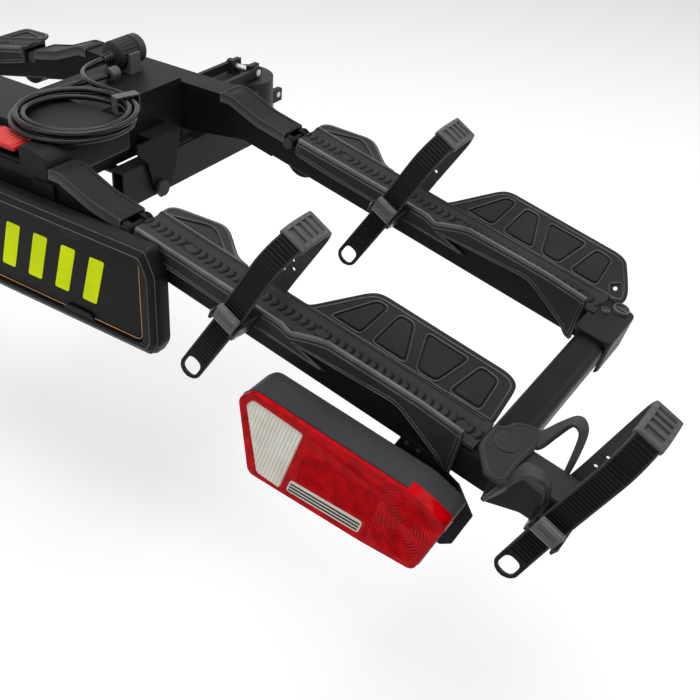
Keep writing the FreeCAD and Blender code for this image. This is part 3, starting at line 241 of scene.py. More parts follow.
def joined(name, *shapes, place=moved()):
    """One mesh of several shapes in a place, each given as a mesh or as a (mesh, matrix) pair."""
    form = bmesh.new()
    for shape in shapes:
        mesh, own = shape if isinstance(shape, tuple) else (shape, moved())
        at = place @ own
        copy = mesh.copy()
        copy.transform(at)
        if at.determinant() < 0:
            copy.flip_normals()
        form.from_mesh(copy)
        bpy.data.meshes.remove(copy)
    mesh = bpy.data.meshes.new(name)
    form.to_mesh(mesh)
    form.free()
    return mesh


def add_piece(name, shapes, place, material, body, slot_name, *nodes):
    """Show shapes, set in their place, as one piece that rides on a body and stands for CAD nodes."""
    mesh = joined(name, *shapes, place=place)
    mesh.materials.append(material)
    shown = show(name, mesh)
    if nodes:
        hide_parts(*nodes)
    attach(shown, body)
    even = shown.modifiers.new("even", "WEIGHTED_NORMAL")
    even.keep_sharp = True
    return shown


def coil_point(turns):
    angle = math.pi + 2 * math.pi * turns
    radius = COIL_OUTER - COIL_PITCH * min(turns, 4 - turns)
    climb = min(max((turns - CLIMB_FROM) / CLIMB_TURNS, 0.0), 1.0)
    height = COIL_LEVEL + COIL_LAYER * climb * climb * (3 - 2 * climb)
    return (COIL_CENTRE[0] + radius * math.cos(angle), COIL_CENTRE[1] + radius * math.sin(angle), height)


coil_steps = round(COIL_TURNS * TURN_POINTS)
cable_route = LEAD_IN + [coil_point(step / TURN_POINTS) for step in range(coil_steps + 1)] + LEAD_OUT
cable_line = bpy.data.curves.new("trailer_cable", "CURVE")
cable_line.dimensions = "3D"
cable_line.bevel_depth = CABLE_THICK / 2
cable_line.bevel_resolution = 6
cable_line.resolution_u = 4
cable_line.use_fill_caps = True
cable_spline = cable_line.splines.new("NURBS")
cable_spline.points.add(len(cable_route) - 1)
for knot, place in zip(cable_spline.points, cable_route):
    knot.co = (*place, 1)
cable_spline.order_u = 3
cable_spline.use_endpoint_u = True
cable = show("trailer_cable", cable_line)
cable_line.materials.append(finish("cable_jacket", CABLE_COLOUR, 0.16, grain=300, depth=0.02, gloss=0.25))
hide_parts("cable_coil", "cable_lead")
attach(cable, "platform")


# The plug on the cable: a moulded barrel with grip flutes, a collar and a ribbed neck, in hard black plastic.
# Thirteen contacts stand in its mouth.
PLUG_AT = (-22, -250, 131)
PLUG_PROFILE = ((0, 4.6), (0.8, 5.4), (2, 5.4), (2.6, 4.7), (3.8, 4.7), (4.4, 5.9), (5.8, 5.9), (6.4, 5.1),
                (7.6, 5.1), (8.2, 6.6), (11, 6.75), (13.4, 7.5), (14.5, 14.5), (17, 17.6), (18, 18), (20, 18),
                (22, 17.9), (42, 17.9), (44, 18), (45, 16.6), (47, 16.6), (48, 18), (58.6, 18), (60, 16.8),
                (59.9, 14.6), (53, 14.2))
PLUG_SIDES = 132
FLUTES = 22
FLUTE_DEPTH = 0.9
FLUTED = (21, 43)
CONTACT_PROFILE = ((52, 1.2), (57, 1.2), (57.6, 0.8))
CONTACT_RINGS = ((0, 1), (6, 6), (10.4, 6))
PART_SPACE = Matrix.Scale(MM, 4)
ALONG_CAR = Matrix.Rotation(-math.pi / 2, 4, "X")


def turned(profile, steps=48, wave=None):
    """A closed turned form round the z axis, from (height, radius) pairs. Wave changes the radius round it."""
    form = bmesh.new()
    rings = []
    for height, radius in profile:
        ring = []
        for step in range(steps):
            angle = 2 * math.pi * step / steps
            out = radius if wave is None else wave(height, radius, angle)
            ring.append(form.verts.new((out * math.cos(angle), out * math.sin(angle), height)))
        rings.append(ring)
    for low, high in zip(rings, rings[1:]):
        for step in range(steps):
            after = (step + 1) % steps
            form.faces.new((low[step], low[after], high[after], high[step]))
    form.faces.new(list(reversed(rings[0])))
    form.faces.new(rings[-1])
    return as_mesh(form, "turned")


def flute(height, radius, angle):
    grip = 0.5 - 0.5 * math.cos(FLUTES * angle)
    return radius - FLUTE_DEPTH * grip if FLUTED[0] < height < FLUTED[1] else radius


plug_shapes = [turned(PLUG_PROFILE, PLUG_SIDES, flute)]
contact = turned(CONTACT_PROFILE, 12)
for ring_radius, count in CONTACT_RINGS:
    for index in range(count):
        angle = 2 * math.pi * index / count
        plug_shapes.append((contact, moved(ring_radius * math.cos(angle), ring_radius * math.sin(angle))))
# Its sharp edges carry a painted highlight.
plug_plastic = finish("plug_plastic", (0.024, 0.024, 0.026), 0.42, depth=0.03, edge_highlight=0.08, gloss=0.1)
plug = add_piece("trailer_plug_body", plug_shapes, PART_SPACE @ moved(*PLUG_AT) @ ALONG_CAR, plug_plastic, "platform",
                 "plug_black", "trailer_plug")


# Cable fixings: a strap tie round the coil, the gland nut at the spine and the clip that parks the plug, all
# moulded in hard black plastic and pushed on or screwed down.
def paint(material, *nodes):
    for node in nodes:
        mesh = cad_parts[node].data
        mesh.materials.clear()
        mesh.materials.append(material)


paint(plug_plastic, "cable_fixings")


# Coupling: two steel rails and a cast head that closes on the tow ball, under one satin black powder coat,
# with zinc plated pins through it and a jaw of bare spring steel.
coupling_coat = finish("coupling_coat", (0.02, 0.02, 0.0215), 0.42, grain=700, depth=0.06, gloss=0.1)
zinc_plate = finish("zinc_plate", (0.55, 0.55, 0.52), 0.38, metallic=1.0, grain=500, depth=0.03, mottle=0.15)
bare_steel = finish("bare_steel", (0.42, 0.42, 0.43), 0.3, metallic=1.0, grain=1400, depth=0.03, mottle=0.1)
paint(coupling_coat, "coupling_frame", "clamp_lever")
paint(bare_steel, "clamp_jaw")
paint(zinc_plate, "lever_pins", "pedal_pin")


# Spine, crossmembers, wing tubes and lamp brackets: folded and welded steel, black powder coat with a fine
# orange peel. The fold pins and the tilt pin are blackened.
frame_coat = finish("frame_coat", (0.0095, 0.0092, 0.009), 0.4, grain=420, depth=0.05, mottle=0.3, patch=14,
                    gloss=0.07)
# The bolts' sharp edges carry a painted highlight.
black_bolt = finish("black_bolt", (0.009, 0.009, 0.0095), 0.36, grain=900, depth=0.03, edge_highlight=0.05, gloss=0.08)
paint(frame_coat, "spine_beam", "rear_crossmember", "front_crossmember", "plate_brackets", "wing_frame_right",
      "wing_frame_left", "lamp_bracket_right", "lamp_bracket_left")
paint(black_bolt, "fold_pins", "tilt_pin")


# Caps over the four arms: one bent moulding of black plastic each, clipped over the crossmember, with a sunk
# panel inside a raised border that is rounded at its corners.
REAR_FACE = -470
FRONT_FACE = -190
TUBE = 35
DROOP = math.radians(12.3)
CAP_ROUTE = ((112, 106.3), (127, 106.3), (169.6, 88.9), (208.8, 80.4))
CAP_BENDS = (26, 60)
CAP_HALF = 19
CAP_TOP = 1.25
CAP_SKIRT = 10.2
CAP_WALL = 1.5
CAP_INSIDE = -1.2
CAP_END_DROP = 0.8
CAP_SHOULDER = ((2.4, 0), (0.7, -0.8), (0, -2.5))
PANEL_HALF = 16.5
PANEL_DEPTH = 1.3
PANEL_BORDER = 4.5
PANEL_CORNER = 5
PANEL_SLOPE = 1.2


def bent_line(route, bends, step=1.0):
    """Points along a route in one plane with rounded bends, each with its direction there."""
    stations = []

    def straight(start, end):
        run = end - start
        count = max(1, round(run.length / step))
        for index in range(count):
            stations.append((start + run * (index / count), run.normalized()))

    here = Vector(route[0])
    for before, corner, after, radius in zip(route, route[1:], route[2:], bends):
        arrive = (Vector(corner) - Vector(before)).normalized()
        leave = (Vector(after) - Vector(corner)).normalized()
        turn = arrive.angle(leave)
        reach = radius * math.tan(turn / 2)
        enter = Vector(corner) - arrive * reach
        straight(here, enter)
        inward = (leave - arrive * arrive.dot(leave)).normalized()
        count = max(2, round(radius * turn / step))
        for index in range(count):
            angle = turn * index / count
            place = enter + inward * radius * (1 - math.cos(angle)) + arrive * radius * math.sin(angle)
            stations.append((place, arrive * math.cos(angle) + inward * math.sin(angle)))
        here = Vector(corner) + leave * reach
    straight(here, Vector(route[-1]))
    stations.append((Vector(route[-1]), (Vector(route[-1]) - here).normalized()))
    return stations


def swept(rings):
    """A closed form through rings of points, each with as many points as the next."""
    form = bmesh.new()
    rows = [[form.verts.new(point) for point in ring] for ring in rings]
    for row, following in zip(rows, rows[1:]):
        for index in range(len(row)):
            after = (index + 1) % len(row)
            form.faces.new((row[index], row[after], following[after], following[index]))
    form.faces.new(list(reversed(rows[0])))
    form.faces.new(rows[-1])
    return as_mesh(form, "swept")


def eased(share):
    share = min(max(share, 0.0), 1.0)
    return share * share * (3 - 2 * share)


def panel_depth(along, length, across):
    """How far the sunk panel lies below the border, for a place along the cap and across it."""
    from_end = min(along, length - along) - PANEL_BORDER
    from_side = CAP_HALF - PANEL_BORDER - abs(across)
    short_end = PANEL_CORNER - from_end
    short_side = PANEL_CORNER - from_side
    if short_end > 0 and short_side > 0:
        inside = PANEL_CORNER - math.hypot(short_end, short_side)
    else:
        inside = min(from_end, from_side)
    return PANEL_DEPTH * eased(inside / PANEL_SLOPE)


def arm_cap():
    stations = bent_line(CAP_ROUTE, CAP_BENDS)
    length = len(stations) - 1.0
    across = [-PANEL_HALF + step for step in range(round(2 * PANEL_HALF) + 1)]
    inner = CAP_HALF - CAP_WALL
    rings = []
    for index, (point, heading) in enumerate(stations):
        up = Vector((-heading.y, heading.x))
        end_drop = 1.0 - eased(min(index, length - index) / 1.5)
        shoulder = [(CAP_HALF - out, CAP_TOP + rise) for out, rise in CAP_SHOULDER]
        profile = [(-CAP_HALF, -CAP_SKIRT)] + [(-y, height) for y, height in reversed(shoulder)]
        profile += [(y, CAP_TOP - panel_depth(index, length, y)) for y in across]
        profile += shoulder + [(CAP_HALF, -CAP_SKIRT), (inner, -CAP_SKIRT), (inner, CAP_INSIDE), (-inner, CAP_INSIDE),
                               (-inner, -CAP_SKIRT)]
        ring = []
        for y, height in profile:
            level = height - CAP_END_DROP * end_drop if height > -1 else height
            ring.append((point.x + up.x * level, TUBE / 2 + y, point.y + up.y * level))
        rings.append(ring)
    return swept(rings)


def on_platform(name, shapes, material, slot_name, *nodes):
    """Show shapes, in mm, as a piece that rides on the platform."""
    add_piece(name, shapes, PART_SPACE, material, "platform", slot_name, *nodes)


cap_mesh = arm_cap()
caps = []
for face_y in (REAR_FACE, FRONT_FACE):
    for side in (1, -1):
        caps.append((cap_mesh, Matrix.Scale(side, 4, (1, 0, 0)) @ moved(0, face_y)))
# The caps' sharp edges and panel borders carry a painted highlight.
cap_plastic = finish("cap_plastic", (0.014, 0.014, 0.0145), 0.42, grain=1100, depth=0.05, edge_highlight=0.14, gloss=0.09)
on_platform("arm_caps", caps, cap_plastic, "cover_plastic", "arm_covers")


# Centre cover: one moulded shell of black plastic over the rear crossmember, with rounded edges, a notch for
# the pedal and room for the spine below.
COVER_HALF = ((98, 122), (109, 116), (111, 108), (111, 86))
COVER_REAR = -471.5
COVER_LENGTH = 123.5
COVER_EDGE = 3.0
NOTCH = (-71.5, 71.5, COVER_REAR - 20, -432.5, 100, 140)
SPINE_ROOM = (-49.5, 49.5, -435, -340, 60, 110)
UPRIGHT = Matrix.Rotation(math.pi / 2, 4, "X")


def anticlockwise(corners):
    area = 0
    for index, corner in enumerate(corners):
        area += corners[index - 1][0] * corner[1] - corners[index - 1][1] * corner[0]
    return list(corners) if area > 0 else list(reversed(corners))


def oblong(x0, x1, y0, y1):
    return [(x0, y0), (x1, y0), (x1, y1), (x0, y1)]


def mirrored(half):
    """A whole outline from its right half."""
    return list(half) + [(-x, up) for x, up in reversed(half)]


def rounded(corners, radius, steps=5):
    """A closed flat outline with its corners eased."""
    line = []
    for index, corner in enumerate(corners):
        here = Vector(corner)
        before = Vector(corners[index - 1]) - here
        after = Vector(corners[(index + 1) % len(corners)]) - here
        start = here + before.normalized() * min(radius, before.length * 0.48)
        end = here + after.normalized() * min(radius, after.length * 0.48)
        for step in range(steps + 1):
            share = step / steps
            line.append(start * (1 - share) ** 2 + here * (2 * share * (1 - share)) + end * share ** 2)
    return line


def inset(corners, amount):
    """The outline moved inward by an amount."""
    line = [Vector(corner) for corner in anticlockwise(corners)]
    shifted = []
    for index, here in enumerate(line):
        into = (here - line[index - 1]).normalized()
        away = (line[(index + 1) % len(line)] - here).normalized()
        first = Vector((-into.y, into.x))
        middle = (first + Vector((-away.y, away.x))).normalized()
        shifted.append(here + middle * (amount / max(middle.dot(first), 0.4)))
    return shifted


def curve_mesh(line, loops, merge):
    """The mesh of a curve that is drawn through loops of points, each with whether it is closed."""
    for points, closed in loops:
        spline = line.splines.new("POLY")
        spline.points.add(len(points) - 1)
        for knot, place in zip(spline.points, points):
            knot.co = (*place, 0, 1) if len(place) == 2 else (*place, 1)
        spline.use_cyclic_u = closed
    holder = bpy.data.objects.new("holder", line)
    form = bmesh.new()
    form.from_mesh(bpy.data.meshes.new_from_object(holder))
    bpy.data.objects.remove(holder)
    bmesh.ops.remove_doubles(form, verts=form.verts, dist=merge)
    return as_mesh(form, line.name)


def cut_sheet(outline, thickness, edge, holes=()):
    """A sheet lying in x and y from z 0 up, its rims rounded by edge, with holes through it."""
    line = bpy.data.curves.new("sheet", "CURVE")
    line.dimensions = "2D"
    line.fill_mode = "BOTH"
    line.extrude = thickness / 2 - edge
    line.bevel_depth = edge
    line.bevel_resolution = 2
    line.offset = -edge
    loops = [anticlockwise(outline)] + [list(reversed(anticlockwise(hole))) for hole in holes]
    mesh = curve_mesh(line, [(loop, True) for loop in loops], 0.002)
    mesh.transform(moved(0, 0, thickness / 2))
    return mesh


def bead(points, radius, closed=False):
    """A thin round ridge along a line of points."""
    line = bpy.data.curves.new("bead", "CURVE")
    line.dimensions = "3D"
    line.bevel_depth = radius
    line.bevel_resolution = 2
    line.use_fill_caps = True
    return curve_mesh(line, [(points, closed)], 0.001)


def standing(outline, thickness, edge, y, holes=()):
    """A sheet that stands across the car, its far side at y."""
    return cut_sheet(outline, thickness, edge, holes), moved(0, y) @ UPRIGHT


def block(x0, x1, y0, y1, z0, z1, edge=1.0, corner=2.0):
    """A rounded block between two opposite corners."""
    return cut_sheet(rounded(oblong(x0, x1, y0, y1), corner), z1 - z0, edge), moved(0, 0, z0)


def carved(shape, *cutters):
    """A shape with other closed shapes cut out of it."""
    body = show("body", joined("body", shape))
    cutter = show("cutter", joined("cutter", *cutters))
    cut = body.modifiers.new("cut", "BOOLEAN")
    cut.object = cutter
    cut.solver = "EXACT"
    bpy.context.view_layer.update()
    result = bpy.data.meshes.new_from_object(body.evaluated_get(bpy.context.evaluated_depsgraph_get()))
    for holder in (body, cutter):
        bpy.data.objects.remove(holder)
    result.set_sharp_from_angle(angle=SHARP_EDGE)
    return result


cover_shape = standing(rounded(mirrored(COVER_HALF), 6), COVER_LENGTH, COVER_EDGE, COVER_REAR + COVER_LENGTH)
cover_mesh = carved(cover_shape, block(*NOTCH, 0.4, 9), block(*SPINE_ROOM, 0.4, 0.5))
cover_plastic = finish("cover_plastic", (0.013, 0.013, 0.0135), 0.42, grain=1100, depth=0.08, gloss=0.09)
on_platform("centre_cover_shell", [cover_mesh], cover_plastic, "cover_plastic", "centre_cover")


# Release pedal: a plate of red moulded plastic with five grip ribs, on a pin in two lugs, with a coil spring
# of steel wire round the pin that brings it back.
PEDAL_HALF = 64
PEDAL_REAR = -472
PEDAL_PIN = (-440.5, 112)
PEDAL_LOW = 112
PEDAL_TOP = 117.4
GRIP_RIBS = 5
RIB_PITCH = 4.4
SPRING_HALF = 12
SPRING_TURNS = 7
SPRING_STEPS = 16
SPRING_RADIUS = 3.9
SPRING_WIRE = 0.7
EYE_RADIUS = 4.9
EYE_END = 3.4
ALONG_X = Matrix.Rotation(math.pi / 2, 4, "Y")
eye_length = PEDAL_HALF - SPRING_HALF - 1
eye = turned([(0, EYE_END), (0.6, EYE_RADIUS), (eye_length - 0.6, EYE_RADIUS), (eye_length, EYE_END)])
pedal_shapes = [block(-PEDAL_HALF, PEDAL_HALF, PEDAL_REAR, PEDAL_PIN[0] - 5.5, PEDAL_LOW, PEDAL_TOP, 1.6, 4)]
for index in range(GRIP_RIBS):
    y = PEDAL_REAR + 5 + RIB_PITCH * index
    pedal_shapes.append(bead([(-PEDAL_HALF + 6, y, PEDAL_TOP - 0.2), (PEDAL_HALF - 6, y, PEDAL_TOP - 0.2)], 0.9))
for start in (-PEDAL_HALF, SPRING_HALF + 1):
    pedal_shapes.append((eye, moved(start, *PEDAL_PIN) @ ALONG_X))
    pedal_shapes.append(block(start, start + eye_length, PEDAL_PIN[0] - 9, PEDAL_PIN[0], PEDAL_LOW + 0.4,
                              PEDAL_TOP - 0.6, 0.8, 1))
# The pedal's sharp edges and ribs carry a painted highlight.
pedal_red = finish("pedal_red", (0.55, 0.015, 0.012), 0.32, depth=0.03, mottle=0.15, edge_highlight=0.1, gloss=0.15)
add_piece("pedal_plate", pedal_shapes, PART_SPACE, pedal_red, "release_pedal", "pedal_red", "release_pedal")
coils = []
for step in range(SPRING_TURNS * SPRING_STEPS + 1):
    angle = 2 * math.pi * step / SPRING_STEPS
    along = -SPRING_HALF + 2 * SPRING_HALF * step / (SPRING_TURNS * SPRING_STEPS)
    y, z = [pin + SPRING_RADIUS * share for pin, share in zip(PEDAL_PIN, (math.cos(angle), math.sin(angle)))]
    coils.append((along, y, z))
on_platform("pedal_return_spring", [bead(coils, SPRING_WIRE)], bare_steel, "spring_steel", "pedal_spring")


# Number plate and its holder: a deep frame of moulded black plastic with a rounded window, a black sheet
# metal plate behind it with a thin copper line printed round its rim, and a printed row of plain slanted
# bars.
PLATE_HALF = 260
PLATE_LOW = -41
PLATE_HIGH = 69
PLATE_CORNERS = oblong(-PLATE_HALF, PLATE_HALF, PLATE_LOW, PLATE_HIGH)
PLATE_WINDOW = oblong(-PLATE_HALF + 3, PLATE_HALF - 3, PLATE_LOW + 5, PLATE_HIGH - 5)
PLATE_Y = -492
HOLDER_SIDE = ((265, -49), (275, -31), (275, 49), (263, 76))
HOLDER_STEPS = ((-477, 0.0), (-487, 0.0), (-493.5, 2.6), (-496.5, 6.5), (-498, 9.0))
TAB_X = 165
TAB_Y = -494.6
TABS = ((66, 57, 14), (-38, -28, 20))
COPPER_INSET = 7.5
COPPER_Y = -494.1
BAR_XS = range(-190, 190, 40)
BAR_Y = -494
BAR = ((0, -14), (20, -14), (36, 42), (16, 42))
holder_rings = []
for y, step_in in HOLDER_STEPS:
    holder_rings.append([(p.x, y, p.y) for p in rounded(inset(mirrored(HOLDER_SIDE), step_in), 5, 5)])
holder_shapes = [carved(swept(holder_rings), standing(rounded(PLATE_WINDOW, 12, 8), 40, 0.3, -470)),
                 standing(rounded(inset(PLATE_WINDOW, -3), 14, 8), 3, 0.8, -487.5)]
for x in (-TAB_X, TAB_X):
    for edge_z, tip_z, wide in TABS:
        tab = [(x - wide - 6, edge_z), (x + wide + 6, edge_z), (x + wide - 4, tip_z), (x - wide + 4, tip_z)]
        holder_shapes.append(standing(rounded(tab, 4), 2.6, 0.9, TAB_Y))
holder_plastic = finish("holder_plastic", (0.008, 0.008, 0.0085), 0.36, grain=1000, depth=0.04, gloss=0.1)
on_platform("plate_frame", holder_shapes, holder_plastic, "holder_black", "plate_holder")
# A paler copy of the black plastic: raised lines, rims and bosses drawn in it show painted highlights.
highlight_plastic = finish("highlight_plastic", (0.075, 0.075, 0.078), 0.3, grain=900, depth=0.03, mottle=0.35, patch=30,
                     gloss=0.3)
# The frame's steps carry thin beads in the paler plastic, as painted highlight lines.
frame_lines = [bead([(x, y - 0.1, z) for x, y, z in holder_rings[index]], 0.5, True) for index in (2, 4)]
on_platform("plate_frame_lines", frame_lines, highlight_plastic, "holder_black")
plate_black = finish("plate_black", (0.0055, 0.0053, 0.005), 0.35, grain=300, depth=0.02, gloss=0.08)
on_platform("plate_sheet", [standing(rounded(PLATE_CORNERS, 9), 2, 0.4, PLATE_Y)], plate_black, "plate_black",
            "number_plate")
copper_line = [(x, COPPER_Y, z) for x, z in rounded(inset(PLATE_CORNERS, COPPER_INSET), 9, 8)]
copper = finish("copper_line", (0.6, 0.3, 0.12), 0.35, metallic=0.6, grain=500, depth=0.01)
on_platform("plate_rim_line", [bead(copper_line, 0.45, True)], copper, "plate_black")
bars = [standing(rounded([(start + x, z) for x, z in BAR], 3), 0.5, 0.15, BAR_Y) for start in BAR_XS]
lime = finish("lime_print", (0.78, 0.93, 0.004), 0.5, grain=800, depth=0.01, mottle=0.06, gloss=0.05)
on_platform("plate_bars", bars, lime, "plate_black")


# Wheel trays: one moulding of grained black plastic each, a channel over the tube with curved treads down its
# middle, a rolled lip and a deep apron behind it, a low flap near the hinge and a leaning shield with four
# sunk fields.
WING_START = (210.7, 0, 67.6)
WING_PLACES = {"right": moved(*WING_START) @ Matrix.Rotation(DROOP, 4, "Y")}
WING_PLACES["left"] = Matrix.Scale(-1, 4, (1, 0, 0)) @ WING_PLACES["right"]
FACES = {"rear": REAR_FACE, "front": FRONT_FACE}
TRAY_START = 15
TRAY_END = 416
TRAY_STEP = 0.6
TRAY_REAR = -1
TRAY_FRONT = 38
TRAY_UNDER = 13.5
LIP_RISE = 1.0
LIP_ROLL = 0.9
FILLET_RISE = 2.8
FLOOR = 17
SCREW_SEAT = 14.1
SCREW_CLEAR = 6.4
SCREW_XS = (71, 233, 394)
TRAY_BACK = (TRAY_START, TRAY_END - 8, TUBE, TUBE + 3, 2, 20)
TRAY_LEDGE = (200, TRAY_END - 8, TUBE, 42, 6, 17.4)
BOSS_PROFILE = ((12.6, 5.3), (12.6, 6.7), (17.2, 6.6), (17.7, 6.2), (17.7, 5.8), (17.0, 5.3))
TREAD_BAND = range(5, 31)
TREAD_PITCH = 9.0
TREAD_HALF = 8.0
TREAD_HEIGHT = 1.6
TREAD_GAP = 0.24
TREAD_SINK = 2.0
TREAD_BOW = 0.42
APRON = ((15, 17), (142, 18), (200, 17), (212, 13), (240, 25), (253, 29), (317, 30), (356, 30), (404, 27),
         (406, -30), (397, -28), (388, -18), (340, 8), (330, 10), (226, 4), (261, -5), (60, -6), (15, -4))
APRON_TOP = ((17, 17), (142, 18), (200, 17), (212, 13.5), (240, 25), (253, 29), (317, 30), (356, 30), (402, 27))
EDGE_LINES = ((2.0, 0.7), (5.2, 0.6))
SHIELD_ANGLE = math.radians(47.6)
SHIELD_FOOT = (40, 17)
SHIELD_THICK = 4
SHIELD = ((220, -2), (211, 3), (168, 43), (157, 48), (15, 47.5), (5, 44), (1, 38), (1, 0), (3, -2))
FRONT_SHIELD = SHIELD[:6] + ((2, 40.5), (-8, 26.7), (-18, 10.5), (-16, -2))
SHIELD_RECESS = ((7, 13), (-4, 20), (-13, 6), (-2, 0))
RECESS_HOLE = (417, 12)
HOLE_RADIUS = 2.4
FIELDS = (((189, 4), (154, 4), (144, 40), (157, 40)), ((140, 4), (101, 4), (114, 40), (131, 40)),
          ((89, 4), (67, 4), (52, 39), (99, 39)), ((52, 4), (18, 4), (18, 37), (39, 39)))
FIELD_DEPTH = 1.6
FLAP_ANGLE = math.radians(15)
FLAP_FOOT = (38, 19)
FLAP_THICK = 3
FLAP = ((15, -2), (15, 8), (22, 15), (74, 28), (85, 25), (113, 4), (129, 2), (129, -2))
FLAP_FIELD = ((23, 1), (65, 17.5), (75, 15.5), (98, 1))


def tread(x, y):
    """Height of the curved treads, each a low scale that ends in a sunk crescent."""
    across = (y - TUBE / 2) / TREAD_HALF
    if abs(across) >= 1:
        return 0
    ramp = (x / TREAD_PITCH + TREAD_BOW * across * across) % 1
    side = eased((1 - abs(across)) * 4)
    if ramp < TREAD_GAP:
        return -TREAD_SINK * side * math.sin(math.pi * ramp / TREAD_GAP)
    return TREAD_HEIGHT * side * math.sin(math.pi * (ramp - TREAD_GAP) / (1 - TREAD_GAP)) ** 0.6


def tray_floor():
    rows = []
    count = round((TRAY_END - TRAY_START) / TRAY_STEP)
    for index in range(count + 1):
        x = TRAY_START + (TRAY_END - TRAY_START) * index / count
        ring = []
        for y in range(TRAY_REAR, TRAY_FRONT + 1):
            lip = LIP_RISE * eased((4 - y) / 4) - LIP_ROLL * eased((0.5 - y) / 1.5)
            fillet = FILLET_RISE * eased((y - 30) / 8)
            height = FLOOR + lip + fillet + (tread(x, y) if y in TREAD_BAND else 0)
            if min(math.hypot(x - screw, y - TUBE / 2) for screw in SCREW_XS) < SCREW_CLEAR:
                height = SCREW_SEAT
            ring.append((x, y, height))
        ring += [(x, TRAY_FRONT, TRAY_UNDER), (x, TRAY_REAR, TRAY_UNDER)]
        rows.append(ring)
    return swept(rows)


def leaning(foot, angle, sink):
    """The place of a sheet whose face leans back from a foot line, its face sunk by an amount."""
    return moved(0, *foot) @ Matrix.Rotation(angle, 4, "X") @ moved(0, 0, -sink)


def from_end(corners):
    return [(TRAY_END - x, up) for x, up in corners]


def ridge(corners, radius, corner_ease, height=0.0):
    """A ridge that follows a closed outline on a sheet's face."""
    return bead([(x, up, height) for x, up in rounded(corners, corner_ease)], radius, True)


def shield(corners):
    """The leaning sheet with its four fields, and in a front tray also a recess with a hole over the casing."""
    sunk = moved(0, 0, SHIELD_THICK - FIELD_DEPTH)
    cutters = []
    pads = []
    lines = []
    if corners == FRONT_SHIELD:
        recess = anticlockwise(from_end(SHIELD_RECESS))
        cutters.append((cut_sheet(rounded(recess, 4), 8, 0.5), sunk))
        lines.append(ridge(inset(recess, -0.6), 0.7, 4, SHIELD_THICK))
    for field in FIELDS:
        around = anticlockwise(from_end(field))
        cutters.append((cut_sheet(rounded(around, 6), 10, 0.6), sunk))
        pad = rounded(inset(around, 1.9), 5)
        pads.append((cut_sheet(pad, FIELD_DEPTH + 1.2, 1.0), moved(0, 0, SHIELD_THICK - FIELD_DEPTH - 0.9)))
        lines.append(ridge(inset(around, -0.6), 0.75, 6, SHIELD_THICK))
    plate = carved(cut_sheet(rounded(from_end(corners), 9, 7), SHIELD_THICK, 1.3), *cutters)
    if corners == FRONT_SHIELD:
        plate = carved(plate, (turned(((-9, HOLE_RADIUS), (2, HOLE_RADIUS)), 20), moved(*RECESS_HOLE, SHIELD_THICK)))
    lines.append(ridge(inset(from_end(corners), 4.2), 0.8, 8, SHIELD_THICK - 0.1))
    return joined("shield", plate, *pads), joined("shield_lines", *lines)


def flap():
    field = anticlockwise(FLAP_FIELD)
    plate = carved(cut_sheet(rounded(FLAP, 7, 7), FLAP_THICK, 1.2),
                   (cut_sheet(rounded(field, 4), 8, 0.5), moved(0, 0, FLAP_THICK - FIELD_DEPTH)))
    pad = (cut_sheet(rounded(inset(field, 3.0), 2), 1.6, 0.7), moved(0, 0, FLAP_THICK - 2.3))
    lines = [ridge(inset(FLAP, 2.6), 1.5, 6, FLAP_THICK - 0.3), ridge(inset(field, -0.7), 0.8, 4, FLAP_THICK)]
    return joined("flap", plate, pad), joined("flap_lines", *lines)


def tray(shield_corners):
    """A tray and the raised lines on it."""
    boss = turned(BOSS_PROFILE, 36)
    shapes = [tray_floor(), (cut_sheet(rounded(APRON, 5), 3, 1.1), UPRIGHT), block(*TRAY_BACK, 0.9, 1.2),
              block(*TRAY_LEDGE, 0.6, 1)]
    shapes += [(boss, moved(x, TUBE / 2)) for x in SCREW_XS]
    lines = [bead([(x, -1.7, z - 0.4) for x, z in APRON_TOP], 2.5),
             bead([(x, -3.0, z - 6.0) for x, z in APRON_TOP], 0.9)]
    for drop, thick in EDGE_LINES:
        lines.append(bead([(x, -3.1, z) for x, z in rounded(inset(APRON, drop), 6)], thick, True))
    for sheet, foot, angle, thick in ((shield(shield_corners), SHIELD_FOOT, SHIELD_ANGLE, SHIELD_THICK),
                                      (flap(), FLAP_FOOT, FLAP_ANGLE, FLAP_THICK)):
        place = leaning(foot, angle, thick)
        shapes.append((sheet[0], place))
        lines.append((sheet[1], place))
    return joined("tray", *shapes), joined("tray_lines", *lines)


def on_wings(name, shapes, material, slot_name, node=""):
    """Show shapes as a piece on each wing, in place of the wings' own nodes."""
    for side, wing in WING_PLACES.items():
        replaced = [node + side] if node else []
        add_piece(name + side, shapes, PART_SPACE @ wing, material, "wing_" + side, slot_name, *replaced)


tray_plastic = finish("tray_plastic", (0.029, 0.029, 0.031), 0.48, grain=1100, depth=0.2, mottle=0.2, patch=18,
                      gloss=0.08)
for place, shield_corners in (("rear", SHIELD), ("front", FRONT_SHIELD)):
    tray_mesh, tray_lines = tray(shield_corners)
    at_face = moved(0, FACES[place])
    on_wings("wheel_tray_" + place + "_", [(tray_mesh, at_face)], tray_plastic, "tray_plastic", "tray_" + place + "_")
    # The tray's lip, rims and field borders are drawn in the paler plastic, as painted highlights.
    on_wings("raised_lines_" + place + "_", [(tray_lines, at_face)], highlight_plastic, "tray_plastic")


